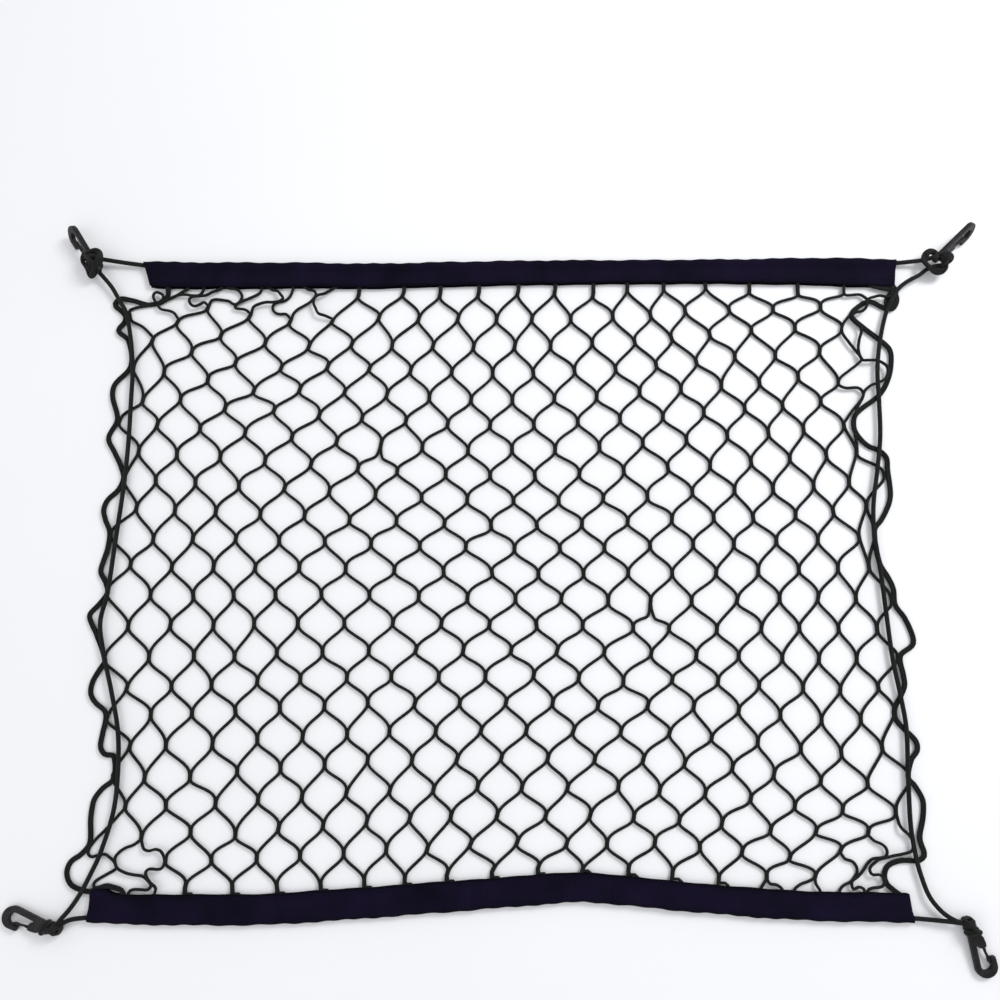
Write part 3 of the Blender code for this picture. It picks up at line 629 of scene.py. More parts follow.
def fold_line(line, x):
    """Y of a band's folded edge at x."""
    return spline([p[0] for p in line], [p[1] for p in line], x)


def drawn_in(x, y, height):
    """A traced place at its true spot over the floor."""
    foot = Vector(VIEW_FOOT)
    x, y = foot + (Vector((x, y)) - foot) * (1 - height / VIEW_HEIGHT)
    return Vector((x, y, height))


def course_length(points):
    return sum((b - a).length for a, b in zip(points, points[1:]))


def tube(name, courses, radius, roundness):
    """Round strands along their courses, joined to one mesh.

    A course that ends where it starts is a closed ring. The mesh's UV map
    holds the turn about a strand (0 to 1) and the place along it in metres.
    """
    whole = bmesh.new()
    for course in courses:
        ring = (course[0] - course[-1]).length < 0.01
        places = course[:-1] if ring else course
        curve = bpy.data.curves.new(name, "CURVE")
        curve.dimensions = "3D"
        curve.bevel_depth = radius
        curve.bevel_resolution = roundness
        curve.use_fill_caps = not ring
        strand = curve.splines.new("POLY")
        strand.use_cyclic_u = ring
        strand.points.add(len(places) - 1)
        for place, point in zip(places, strand.points):
            point.co = (*(place * MM), 1.0)
        holder = bpy.data.objects.new(name, curve)
        mesh = bpy.data.meshes.new_from_object(holder)
        length = course_length(course) * MM
        for corner in mesh.uv_layers[0].data:
            corner.uv.y *= length
        part = bmesh.new()
        part.from_mesh(mesh)
        bmesh.ops.remove_doubles(part, verts=part.verts, dist=1e-7)
        part.to_mesh(mesh)
        part.free()
        whole.from_mesh(mesh)
        bpy.data.objects.remove(holder)
        bpy.data.curves.remove(curve)
        bpy.data.meshes.remove(mesh)
    return to_piece(name, whole)


def to_piece(name, bm):
    """A finished bmesh as an object in the scene, in metres."""
    bmesh.ops.recalc_face_normals(bm, faces=bm.faces)
    for face in bm.faces:
        face.smooth = True
    mesh = bpy.data.meshes.new(name)
    bm.to_mesh(mesh)
    bm.free()
    piece = bpy.data.objects.new(name, mesh)
    bpy.context.scene.collection.objects.link(piece)
    return piece


def settle(piece, finish, nodes=(), body="root"):
    """Give a piece its finish, its body and the solids that it stands for."""
    piece.data.materials.clear()
    piece.data.materials.append(finish)
    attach(piece, body)
    if nodes:
        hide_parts(*nodes)


# ---------------------------------------------------------------- finishes


def new_finish(name):
    """A material, its node tree, its shader and the place on the surface."""
    finish = bpy.data.materials.new(name)
    finish.use_nodes = True
    tree = finish.node_tree
    where = put(tree, "ShaderNodeTexCoord").outputs["Object"]
    return finish, tree, tree.nodes["Principled BSDF"], where


def fill(tree, node, **inputs):
    """Set inputs by name or, as i0 or i1, by number; a socket given is linked."""
    for key, value in inputs.items():
        numbered = key[0] == "i" and key[1:].isdigit()
        socket = node.inputs[int(key[1:]) if numbered else key.replace("_", " ")]
        if isinstance(value, bpy.types.NodeSocket):
            tree.links.new(value, socket)
        else:
            socket.default_value = value
    return node


def put(tree, kind, settings=None, **inputs):
    """A new node with its settings and inputs."""
    node = tree.nodes.new(kind)
    for key, value in (settings or {}).items():
        setattr(node, key, value)
    return fill(tree, node, **inputs)


def calc(tree, operation, first, second=0.0):
    """One step of arithmetic on the surface's values."""
    return put(tree, "ShaderNodeMath", {"operation": operation}, i0=first, i1=second).outputs[0]


def plus(tree, first, second, share):
    """A value with a share of a second one on top."""
    return calc(tree, "ADD", first, calc(tree, "MULTIPLY", second, share))


def ridges(tree, phase):
    """Rounded ridges with a groove at every whole turn of pi: 0 there, 1 on the crown."""
    return calc(tree, "ABSOLUTE", calc(tree, "SINE", phase))


def noise(tree, where, scale, detail):
    return put(tree, "ShaderNodeTexNoise", Vector=where, Scale=scale, Detail=detail).outputs[0]


def shades(tree, factor, stops):
    """Colours along a factor; stops are (place, colour)."""
    ramp = put(tree, "ShaderNodeValToRGB", Fac=factor)
    elements = ramp.color_ramp.elements
    while len(elements) < len(stops):
        elements.new(0.5)
    for element, (place, colour) in zip(elements, stops):
        element.position = place
        element.color = (*colour, 1.0)
    return ramp.outputs["Color"]


def dress(tree, shader, colour, tone, stops, **inputs):
    """Shade the surface along its tone and set the shader's other inputs.

    Stops are (place, share of the colour).
    """
    shaded = [(place, tuple(min(c * share, 1.0) for c in colour)) for place, share in stops]
    fill(tree, shader, Base_Color=shades(tree, tone, shaded), **inputs)


def bump(tree, height, strength, distance):
    """Relief from a height, as a normal."""
    return put(tree, "ShaderNodeBump", Height=height, Strength=strength,
               Distance=distance).outputs[0]


def helix(tree, turn, along, starts, pitch):
    """Ridges that wind round a strand."""
    wound = calc(tree, "MULTIPLY", turn, starts)
    run = calc(tree, "DIVIDE", along, pitch)
    return ridges(tree, calc(tree, "MULTIPLY", calc(tree, "ADD", wound, run), math.pi))


def strand_places(tree):
    """The turn about a strand and the place along it, from its UV map."""
    uv = put(tree, "ShaderNodeUVMap").outputs[0]
    split = put(tree, "ShaderNodeSeparateXYZ", i0=uv)
    return split.outputs[0], split.outputs[1]


def yarn_finish(colour):
    """Knitted filament yarn: wound plies with a fine fibre fuzz."""
    finish, tree, shader, where = new_finish("knitted yarn")
    plies = helix(tree, *strand_places(tree), 4.0, 0.0042)
    fuzz = noise(tree, where, 1900.0, 3.0)
    dye = noise(tree, where, 34.0, 2.0)
    # Painted highlight and shade: the plies' crowns are coloured lighter and the grooves between them
    # darker; dye is a random tone of the yarn.
    tone = plus(tree, calc(tree, "MULTIPLY", plies, 0.55), dye, 0.45)
    dress(tree, shader, colour, tone, [(0.15, 0.35), (0.55, 1.0), (1.0, 2.3)],
          Normal=bump(tree, plus(tree, plies, fuzz, 0.6), 0.55, 0.00025),
          Roughness=0.72, Specular_IOR_Level=0.12, Sheen_Weight=0.03, Sheen_Roughness=0.5)
    return finish


def cord_finish(colour):
    """Braided cover: two sets of wound carriers that cross in small diamonds."""
    finish, tree, shader, where = new_finish("braided cover")
    turn, along = strand_places(tree)
    right = helix(tree, turn, along, 8.0, 0.0021)
    left = helix(tree, turn, along, -8.0, 0.0021)
    braid = calc(tree, "MULTIPLY", right, left)
    fuzz = noise(tree, where, 2400.0, 2.0)
    wear = noise(tree, where, 60.0, 3.0)
    # Painted highlight and shade: the braid's crowns are coloured lighter and the grooves between its
    # carriers darker.
    tone = plus(tree, calc(tree, "MULTIPLY", braid, 0.7), wear, 0.3)
    dress(tree, shader, colour, tone, [(0.08, 0.25), (0.45, 1.0), (0.95, 2.6)],
          Normal=bump(tree, plus(tree, braid, fuzz, 0.25), 0.7, 0.0003),
          Roughness=0.6, Specular_IOR_Level=0.15, Sheen_Weight=0.02, Sheen_Roughness=0.4)
    return finish


def cloth_finish(colour):
    """Ribbed woven strip: ribs run across it, with a fine weave between."""
    finish, tree, shader, where = new_finish("ribbed strip")
    split = put(tree, "ShaderNodeSeparateXYZ", i0=where)
    along = plus(tree, split.outputs[0], noise(tree, where, 45.0, 2.0), 0.0012)
    rib = ridges(tree, calc(tree, "MULTIPLY", along, math.pi / 0.0017))
    pick = ridges(tree, calc(tree, "MULTIPLY", split.outputs[1], math.pi / 0.0007))
    weave = calc(tree, "MULTIPLY", rib, calc(tree, "ADD", calc(tree, "MULTIPLY", pick, 0.5), 0.5))
    fuzz = noise(tree, where, 1600.0, 3.0)
    patch = noise(tree, where, 28.0, 3.0)
    # border: painted shade read from the band, darkening the cloth near its fold and its open edge
    border = put(tree, "ShaderNodeAttribute", {"attribute_name": "border"}).outputs["Fac"]
    # Painted highlight and shade: the weave's crowns are coloured lighter and its grooves darker; patch is
    # a random tone of the cloth.
    tone = plus(tree, calc(tree, "MULTIPLY", weave, 0.45), patch, 0.6)
    dress(tree, shader, colour, plus(tree, tone, border, -0.35),
          [(0.2, 0.3), (0.52, 1.0), (0.8, 2.4)],
          Normal=bump(tree, plus(tree, weave, fuzz, 0.5), 0.5, 0.00022),
          Roughness=0.86, Specular_IOR_Level=0.05, Sheen_Weight=0.01, Sheen_Roughness=0.6)
    return finish


def plastic_finish(colour):
    """Matte moulded plastic with a faint grain and scuffs."""
    finish, tree, shader, where = new_finish("moulded plastic")
    grain = noise(tree, where, 1500.0, 3.0)
    flow = noise(tree, where, 120.0, 4.0)
    scuff = put(tree, "ShaderNodeTexVoronoi", Vector=where, Scale=420.0).outputs[0]
    gloss = put(tree, "ShaderNodeMapRange", Value=flow, From_Min=0.35, From_Max=0.65,
                To_Min=0.38, To_Max=0.58)
    dress(tree, shader, colour, flow, [(0.35, 0.5), (0.5, 1.0), (0.68, 2.4)],
          Normal=bump(tree, plus(tree, grain, scuff, 0.4), 0.25, 0.0001),
          Roughness=gloss.outputs[0], Specular_IOR_Level=0.24)
    return finish


def floor_finish(colour):
    """Pale matte paper."""
    finish, tree, shader, where = new_finish("pale paper")
    dress(tree, shader, colour, noise(tree, where, 3.0, 2.0), [(0.3, 0.985), (0.7, 1.0)],
          Roughness=0.9, Specular_IOR_Level=0.1)
    return finish


# ---------------------------------------------------------------- netting


def read_lines(table, across, step):
    """A table's value at a share of the mesh's width and a row step."""
    line = [spline(list(table), values, step) for values in zip(*table.values())]
    return spline(SHARES, line, across)


def off_bands(x, y):
    """How far a place is off the bands' open edges; below 0 it is over a band."""
    return min((fold_line(line, x) - y) * side - BAND_WIDTH for line, side, _ in BANDS.values())


def net_lift(x, y):
    """The mesh lies on the floor and steps up onto the bands' lower leaves."""
    return (CLOTH + GAP) * clamp((RISE_START - off_bands(x, y)) / RISE_RUN)


def yarn_place(yarn, row):
    """The column place of the joint that a yarn passes at a row."""
    if row % 2 == 0:
        return (yarn + 1) // 2
    return yarn // 2 + 0.5


def joint_table(rng):
    """Centre, direction and half length of every joint, a little uneven."""
    lines = {row: [Vector(point) for point in points] for row, points in NET_ROWS.items()}
    shifts = {(row, place): Vector((x, y)) for row, place, x, y in JOINT_SHIFTS}
    joints = {}
    for row in range(ROWS + 1):
        for index in range(COLUMNS + 1 - row % 2):
            place = index + 0.5 * (row % 2)
            share = place / COLUMNS
            wobble = Vector([rng.gauss(0, spread) for spread in JOINT_WOBBLE])
            centre = read_lines(lines, share, row) + shifts.get((row, place), wobble)
            lean = math.radians(read_lines(NET_LEANS, share, row) + rng.gauss(0, LEAN_WOBBLE))
            joints[row, place] = (centre, Vector((-math.sin(lean), -math.cos(lean))),
                                  rng.uniform(*JOINT_STRETCH))
    return joints


def joint_ends(joint, side, settings):
    """Where a yarn enters and leaves a joint, on its own side of the middle."""
    centre, down, stretch = joint
    half = settings.joint / MM / 2
    offset = Vector((-down.y, down.x)) * (side * (settings.yarn / MM / 2) * settings.nip)
    return centre - down * half * stretch + offset, centre + down * half * stretch + offset


def strand_curve(start, heading, end, ending, pulls, count):
    """A strand that leaves one joint and bends into the next."""
    gap = (end - start).length
    leaving, arriving = heading * (gap * pulls[0]), ending * (gap * pulls[1])
    return [hermite(start, leaving, end, arriving, i / count) for i in range(1, count)]


def loose_run(points):
    """A wandering run of yarn, eased past points that crowd its ends."""
    points = [Vector(p) for p in points]
    kept = [points[0]]
    for point in points[1:-1]:
        if (point - kept[-1]).length > CROWDED and (point - points[-1]).length > CROWDED:
            kept.append(point)
    return smooth_route([*kept, points[-1]])


def yarn_route(yarn, joints, rng, settings):
    """A yarn's course seen from above, and where its loose ends stop and start."""
    first, head = YARN_HEADS.get(yarn, (0, None))
    final, tail = YARN_TAILS.get(yarn, (ROWS, None))
    route = []
    last = None
    for row in range(first, final + 1):
        place = yarn_place(yarn, row)
        side = -1 if place * 2 > yarn + 0.5 else 1
        down = joints[row, place][1]
        entry, leave = joint_ends(joints[row, place], side, settings)
        if last is not None:
            pulls = [rng.uniform(*span) for span in STRAND_PULLS]
            if (yarn, row) in SLACK_STRANDS:
                x, y, *heading = SLACK_STRANDS[yarn, row]
                bend = (Vector((x, y)), Vector(heading))
                route += [*strand_curve(*last, *bend, SLACK_PULLS, SLACK_STEPS), bend[0]]
                last = bend
            route += strand_curve(*last, entry, down, pulls, STRAND_STEPS)
        elif head:
            route += loose_run([*head, entry])[:-1]
        route += [entry, (entry + leave) / 2, leave]
        last = (leave, down)
    head_end, tail_start = -math.inf, math.inf
    if head:
        head_end = len(loose_run([*head, joints[first, yarn_place(yarn, first)][0]]))
    if tail:
        tail_start = len(route)
        route += loose_run([leave, *tail])[1:]
    elif side > 0:
        edge = fold_line(BOTTOM_FOLD, leave.x) + BAND_WIDTH + HEM_GAP
        route += [Vector((leave.x + x, edge + y)) for x, y in HEM_TURN]
    return route, head_end, tail_start


def yarn_course(yarn, joints, rng, settings):
    """One yarn from the top band to the bottom one, zigzag from joint to joint."""
    radius = settings.yarn / MM / 2
    route, head_end, tail_start = yarn_route(yarn, joints, rng, settings)
    sway = rng.uniform(0, WHOLE_TURN)
    over = YARN_OVER * (yarn % 3)
    course = []
    for number, (x, y) in enumerate(route):
        wave = 0.5 + 0.5 * math.sin(number * WAVE_TURN + sway)
        free = max(clamp((head_end - number) / FREE_POINTS),
                   clamp((number - tail_start) / FREE_POINTS))
        free *= clamp((off_bands(x, y) - FREE_START) / FREE_RUN)
        height = radius + YARN_LIFT + YARN_WAVE * wave + over * free + net_lift(x, y)
        course.append(drawn_in(x, y, height))
    return course


def header_points(course, name):
    """From a band's open edge to the sewn edge of the mesh inside its fold."""
    line, side, _ = BANDS[name]
    x = min(max(course[-1].x, line[0][0] + HEADER_MARGIN), line[-1][0] - HEADER_MARGIN)
    height = CLOTH + GAP + HEADER_RISE
    return [Vector((x, fold_line(line, x) - side * inset, height)) for inset in HEADER_INSETS]


def selvedge_courses(route, radius):
    """The side edge: two strands that lie together and twist slowly."""
    centre = smooth_route(route, SELVEDGE_STEP)
    courses = ([], [])
    for number, point in enumerate(centre):
        before = centre[max(number - 1, 0)]
        after = centre[min(number + 1, len(centre) - 1)]
        along = (after - before).normalized()
        right = Vector((along.y, -along.x))
        turn = number * SELVEDGE_TWIST
        apart = SELVEDGE_APART[0] + SELVEDGE_APART[1] * math.cos(turn)
        lift, rise = SELVEDGE_LIFT
        for side, course in zip((-1, 1), courses):
            x, y = point + right * (side * radius * apart)
            height = radius + lift + side * rise * math.sin(turn) + net_lift(point.x, point.y)
            course.append(drawn_in(x, y, height))
    return list(courses)


def loop_courses(yarns, route, radius):
    """A loose loop of the side edge that shows at a band's end."""
    if yarns == 2:
        return selvedge_courses(route, radius)
    return [[drawn_in(x, y, radius + NET_THICK + net_lift(x, y)) for x, y in smooth_route(route)]]


def into_band(course):
    """Lead a course's ends on into the band's fold that they lie against."""
    for name, (line, side, _) in BANDS.items():
        for end in (0, -1):
            if (course[end].y - fold_line(line, course[end].x)) * side > -BAND_REACH:
                if end:
                    course = course + header_points(course, name)
                else:
                    course = header_points(course[::-1], name)[::-1] + course
    return course


class CARGONET_OT_netting(bpy.types.Operator):
    """Knit the mesh: 36 zigzag yarns and the doubled side edges"""
    bl_idname = "cargonet.netting"
    bl_label = "Netting"

    def execute(self, context):
        settings = context.scene.cargonet_netting
        rng = random.Random(NET_SEED)
        joints = joint_table(rng)
        radius = settings.yarn / 2
        courses = [into_band(yarn_course(yarn, joints, rng, settings)) for yarn in range(YARNS)]
        for route in (LEFT_SELVEDGE, RIGHT_SELVEDGE):
            courses += map(into_band, selvedge_courses(route, radius / MM))
        for yarns, route in EDGE_LOOPS:
            courses += map(into_band, loop_courses(yarns, route, radius / MM))
        piece = tube("netting", courses, radius, YARN_ROUNDNESS)
        settle(piece, yarn_finish(settings.colour), ["net"])
        return {"FINISHED"}


# ---------------------------------------------------------------- bands


def band_section(width, cloth, cord):
    """The folded strip cut across: (distance in from the fold, height)."""
    outer = cloth + CORD_ROOM + cord / 2
    middle = (outer, outer)
    leaf_top = 2 * cloth + NET_THICK + 2 * GAP
    soft = cloth * 0.3
    under = [width - soft, width * 0.8, width * 0.55]
    over = [(outer + (THROAT - outer) * t, 2 * outer - (2 * outer - leaf_top) * (3 * t * t - 2 * t**3))
            for t in (0.3, 0.6, 0.85, 1.0)]
    over += [(THROAT + (width - THROAT) * t, leaf_top) for t in (0.25, 0.5, 0.7, 0.85, 0.95)]
    section = [(p, 0.0) for p in under]
    section += arc(middle, outer, 270, 90, FOLD_STEPS)
    section += over
    section += [(width - soft, leaf_top), (width, leaf_top - soft), (width, leaf_top - cloth + soft),
                (width - soft, leaf_top - cloth)]
    section += [(p, h - cloth) for p, h in reversed(over)]
    section += arc(middle, outer - cloth, 90, 270, FOLD_STEPS)
    section += [(p, cloth) for p in reversed(under)]
    section += [(width, cloth - soft), (width, soft)]
    return section


def ripple(x, wave, phase):
    """A small wave along a band."""
    height, run = wave
    return height * math.sin(x / run + phase)


def build_band(name, settings, cord):
    """Sweep the folded section along the band by extruding its outline."""
    line, side, slants = BANDS[name]
    width, cloth = settings.width / MM, settings.cloth / MM
    section = band_section(width, cloth, cord)
    first, last = line[0][0], line[-1][0]
    rng = random.Random(BAND_SEEDS[name])
    phases = [rng.uniform(0, WHOLE_TURN) for _ in range(6)]
    count = round((last - first) / BAND_STEP)
    bm = bmesh.new()
    # The border attribute holds painted shade: near 1 at the fold and the open edge, where the cloth is
    # painted darker
    border = bm.verts.layers.float.new("border")
    ring = []

    def place(vert, x, inwards, height):
        share = inwards / width
        wander = ripple(x, SCALLOP_WANDER, phases[1])
        scallop = ripple(x, SCALLOPS[0], phases[0] + wander) + ripple(x, SCALLOPS[1], phases[2])
        inwards *= 1 + fold_line(BAND_SPREAD[name], x) / width
        edge = ripple(x, EDGE_WAVES[0], phases[3]) + ripple(x, EDGE_WAVES[1], phases[4])
        y = fold_line(line, x) - side * (inwards + (1 - share) ** 2 * scallop + share * edge)
        near = math.exp(-((inwards - width + PUCKER_REACH) / PUCKER_REACH) ** 2)
        pucker = ripple(x, PUCKER, phases[5]) * near
        lift = pucker if height > cloth * 1.5 else 0.0
        reach = (x - first) / (last - first)
        slant = slants[0] * max(0.0, 1 - (x - first) / BAND_SLANT_RUN) if reach < 0.5 else \
            slants[1] * max(0.0, 1 - (last - x) / BAND_SLANT_RUN)
        vert.co = ((x + slant * share) * MM, y * MM, (height + lift) * MM)
        # painted shade, strongest at the fold and at the open edge
        vert[border] = max(math.exp(-(share * width / FOLD_SHADE_REACH) ** 2),
                           math.exp(-((1 - share) * width / OPEN_SHADE_REACH) ** 2))

    for inwards, height in section:
        vert = bm.verts.new((0, 0, 0))
        place(vert, first, inwards, height)
        ring.append(vert)
    outline = close_loop(bm, ring)
    bmesh.ops.contextual_create(bm, geom=outline)
    for number in range(1, count + 1):
        x = first + (last - first) * number / count
        grown = bmesh.ops.extrude_edge_only(bm, edges=outline)
        fresh = {item for item in grown["geom"] if isinstance(item, bmesh.types.BMVert)}
        following = []
        for vert in ring:
            following.append(next(edge.other_vert(vert) for edge in vert.link_edges
                                  if edge.other_vert(vert) in fresh))
        ring = following
        for vert, (inwards, height) in zip(ring, section):
            place(vert, x, inwards, height)
        outline = [item for item in grown["geom"] if isinstance(item, bmesh.types.BMEdge)
                   and all(v in fresh for v in item.verts)]
    bmesh.ops.contextual_create(bm, geom=outline)
    return to_piece(name + "_cloth", bm)


def build_stitches(name, settings):
    """The row of lockstitches that holds the fold shut."""
    line, side, _ = BANDS[name]
    width, cloth = settings.width / MM, settings.cloth / MM
    top = 2 * cloth + NET_THICK + 2 * GAP
    first, last = line[0][0] + STITCH_MARGIN, line[-1][0] - STITCH_MARGIN
    count = round((last - first) / STITCH_STEP)
    bm = bmesh.new()
    for number in range(count + 1):
        x = first + (last - first) * number / count
        y = fold_line(line, x) - side * (width - STITCH_INSET)
        slope = math.atan2(fold_line(line, x + 1) - fold_line(line, x - 1), 2)
        shape = Matrix.Diagonal((*STITCH_HALVES, 1))
        turn = Matrix.Rotation(slope + STITCH_LEAN, 4, "Z")
        spot = Matrix.Translation((x, y, top + STITCH_LIFT))
        bmesh.ops.create_icosphere(bm, subdivisions=2, radius=1.0,
                                   matrix=Matrix.Scale(MM, 4) @ spot @ turn @ shape)
    return to_piece(name + "_stitching", bm)


class CARGONET_OT_bands(bpy.types.Operator):
    """Fold the two cloth strips along the net's ends"""
    bl_idname = "cargonet.bands"
    bl_label = "Bands"

    def execute(self, context):
        settings = context.scene.cargonet_bands
        cord = context.scene.cargonet_cord.thickness / MM
        finish = cloth_finish(settings.colour)
        for name, (line, _, _) in BANDS.items():
            piece = build_band(name, settings, cord)
            settle(piece, finish, [name])
            thread = build_stitches(name, settings)
            settle(thread, finish)
        return {"FINISHED"}


# ---------------------------------------------------------------- border cord


def band_stations(name):
    """Places along a band where the cord inside its fold is set."""
    line = BANDS[name][0]
    first, last = line[0][0], line[-1][0]
    inner_run = last - first - 2 * BAND_SLANT_RUN
    inside = [first + BAND_SLANT_RUN + inner_run * i / BAND_STATIONS
              for i in range(BAND_STATIONS + 1)]
    return [first, *inside, last]


def knot_entry(corner, end):
    """Where a stretch of the cord ends inside a hook's knot."""
    hook = HOOKS[corner]
    return Vector(hook[end]) if end in hook else hook_frame(hook) @ Vector(KNOT_INSIDE)


def side_points(points, top, bottom, thickness):
    """From the top hook, over the mesh's side edge, to the bottom hook."""
    height = NET_THICK + GAP + thickness / 2
    middle = [drawn_in(x, y, height + net_lift(x, y)) for x, y in points]
    return [knot_entry(top, "side_end"), Vector(HOOKS[top]["side_cord"]), *middle,
            Vector(HOOKS[bottom]["side_cord"]), knot_entry(bottom, "side_end")]


def band_points(name, left, right, thickness):
    """From the left hook, through the band's fold, to the right hook."""
    line, side, _ = BANDS[name]
    inset = CLOTH + CORD_ROOM + thickness / 2
    inside = [Vector((x, fold_line(line, x) - side * inset, inset)) for x in band_stations(name)]
    return [knot_entry(left, "band_end"), Vector(HOOKS[left]["band_cord"]), *inside,
            Vector(HOOKS[right]["band_cord"]), knot_entry(right, "band_end")]


class CARGONET_OT_cords(bpy.types.Operator):
    """Lay the braided elastic cord round the border"""
    bl_idname = "cargonet.cords"
    bl_label = "Border cord"

    def execute(self, context):
        settings = context.scene.cargonet_cord
        thickness = settings.thickness / MM
        finish = cord_finish(settings.colour)
        routes = {
            "cord_left": side_points(LEFT_SIDE, "top_left", "bottom_left", thickness),
            "cord_right": side_points(RIGHT_SIDE, "top_right", "bottom_right", thickness),
            "cord_top": band_points("top_band", "top_left", "top_right", thickness),
            "cord_bottom": band_points("bottom_band", "bottom_left", "bottom_right", thickness),
        }
        for name, route in routes.items():
            piece = tube(name + "_braid", [smooth_route(route)], settings.thickness / 2,
                         CORD_ROUNDNESS)
            settle(piece, finish, [name])
        return {"FINISHED"}


# ---------------------------------------------------------------- knots


def hook_frame(hook):
    """Place the hook's own plane: the bend rests low and the eye on its knot."""
    along = HOOK_LENGTH - HOOK_WIDTH / 2
    rise = hook["eye_height"] - hook["bend_height"]
    pitch = math.asin(rise / (along - KNOT_PLACE))
    turn = Matrix.Rotation(math.radians(hook["heading"]), 4, "Z")
    tilt = Matrix.Rotation(pitch, 4, "Y")
    roll = Matrix.Rotation(math.radians(hook["roll"]), 4, "X")
    bend = Matrix.Translation((*hook["bend"], hook["bend_height"]))
    return bend @ turn @ tilt @ roll @ Matrix.Translation((-along, 0, 0))


def round_oblong(centre, first, second, half_first, half_second, reach, steps):
    """A closed path at one distance round an oblong."""
    path = []
    for quarter in range(4):
        for i in range(steps):
            angle = math.radians(90 * quarter + 90 * i / (steps - 1))
            a, b = math.cos(angle), math.sin(angle)
            side_first = 1 if quarter in (0, 3) else -1
            side_second = 1 if quarter in (0, 1) else -1
            path.append(centre + first * (side_first * half_first + a * reach)
                        + second * (side_second * half_second + b * reach))
    return path


def open_side(p):
    """The q of the hook's body on the gate's side, over a knot turn at p."""
    neck_q = EYE_END_WIDTH - HOOK_WIDTH / 2
    body_p, body_q = BODY_END
    share = (p + HITCH / 2 - NECK_END) / (body_p - NECK_END)
    return neck_q + max(share, 0) * (body_q - neck_q)


def knot_turns(corner):
    """The turns round a hook's neck and the strands that cross over them."""
    place = hook_frame(HOOKS[corner])
    q_way, n_way = Vector((0, 1, 0)), Vector((0, 0, 1))
    reach = HITCH / 2 - HITCH_SINK
    turns = []
    for p, lean in HOOKS[corner]["turns"]:
        low, high = HITCH_TUCK - HOOK_WIDTH / 2, open_side(p) - HITCH_TUCK
        tip = Matrix.Rotation(math.radians(lean), 3, "Y")
        turn = round_oblong(Vector((p, (low + high) / 2, 0)), q_way, tip @ n_way,
                            (high - low) / 2, HOOK_THICK / 2, reach, TURN_STEPS)
        turns.append([place @ point for point in [*turn, turn[0]]])
    if corner in HITCHES:
        return turns + [smooth_route(strand, STRAND_STEP) for strand in HITCHES[corner]]
    return turns + [smooth_route([place @ Vector(point) for point in HITCH_OVER], STRAND_STEP)]


class CARGONET_OT_knots(bpy.types.Operator):
    """Hitch the cord round each hook's eye"""
    bl_idname = "cargonet.knots"
    bl_label = "Knots"

    def execute(self, context):
        settings = context.scene.cargonet_cord
        finish = cord_finish(settings.colour)
        for corner in HOOKS:
            piece = tube("knot_" + corner + "_hitch", knot_turns(corner), HITCH / 2 * MM,
                         CORD_ROUNDNESS)
            settle(piece, finish, ["knot_" + corner])
        return {"FINISHED"}


# ---------------------------------------------------------------- hooks


def hook_outline():
    """The hook's open outline, eye end, back arm, bend, tip and nose."""
    half = HOOK_WIDTH / 2
    bend = (HOOK_LENGTH - half, 0.0)
    inside = half - ARM
    inner_bend = (HOOK_LENGTH - BEND_WEB - inside, 0.0)
    eye_half = EYE_END_WIDTH / 2
    eye = (eye_half, eye_half - half)
    pivot_q = GATE_PIVOT[1]
    outline = [(TIP_END, half - 0.6)]
    outline += arc(bend, half, 90, -90, 24)
    outline += arc(eye, eye_half, 270, 90, 14)
    outline += [(NECK_END, eye_half * 2 - half), BODY_END, NOSE, (31.0, pivot_q + 2.2)]
    outline += arc(GATE_PIVOT, GATE_ROOT + GAP, 125, 235, 6)
    outline += [(32.3, -0.2), (32.0, -2.0), (30.6, -3.7), (28.4, -4.8), (26.5, -inside)]
    outline += arc(inner_bend, inside, -90, 90, 16)
    outline += [(TIP_END, inside)]
    return outline


def eye_hole():
    """The oblong hole that the cord is hitched through."""
    near, far, width = EYE_HOLE
    middle = (EYE_END_WIDTH - HOOK_WIDTH) / 2
    low, high = middle - width / 2, middle + width / 2
    return [(near, low), (far, low), (far, high), (near, high)]


def gate_outline():
    """The springy tongue: a round root, a thin blade and a thicker barb."""
    pivot_p, pivot_q = GATE_PIVOT
    inside = HOOK_WIDTH / 2 - ARM - GAP
    blade = 0.6
    outline = arc(GATE_PIVOT, GATE_ROOT, 40, 320, 14)
    outline += [(pivot_p + 3.0, pivot_q - blade), (TIP_END, 2.5), (46.0, 2.7), (48.4, 3.9)]
    outline += [(48.0, inside), (TIP_END + 0.6, inside), (TIP_END - 1.5, pivot_q + 2.2)]
    outline += [(pivot_p + 3.0, pivot_q + blade + 0.5)]
    return outline


def moulding(name, outlines, thickness, place, settings):
    """A flat plate with softened edges, from outlines in the hook's plane."""
    bm = bmesh.new()
    for outline in outlines:
        close_loop(bm, [bm.verts.new((p, q, -thickness / 2)) for p, q in outline])
    bmesh.ops.triangle_fill(bm, use_beauty=True, edges=bm.edges[:])
    grown = bmesh.ops.extrude_face_region(bm, geom=bm.faces[:])
    lifted = [item for item in grown["geom"] if isinstance(item, bmesh.types.BMVert)]
    bmesh.ops.translate(bm, vec=(0, 0, thickness), verts=lifted)
    bmesh.ops.transform(bm, matrix=Matrix.Scale(MM, 4), verts=bm.verts)
    rough = to_piece(name, bm)
    grid = rough.modifiers.new("grid", "REMESH")
    grid.mode = "VOXEL"
    grid.voxel_size = settings.grain
    seen = rough.evaluated_get(bpy.context.evaluated_depsgraph_get())
    fine = bmesh.new()
    fine.from_mesh(seen.to_mesh())
    bpy.data.objects.remove(rough)
    for _ in range(settings.rounding):
        bmesh.ops.smooth_vert(fine, verts=fine.verts, factor=0.5,
                              use_axis_x=True, use_axis_y=True, use_axis_z=True)
    metres = place.copy()
    metres.translation *= MM
    bmesh.ops.transform(fine, matrix=metres, verts=fine.verts)
    return to_piece(name, fine)


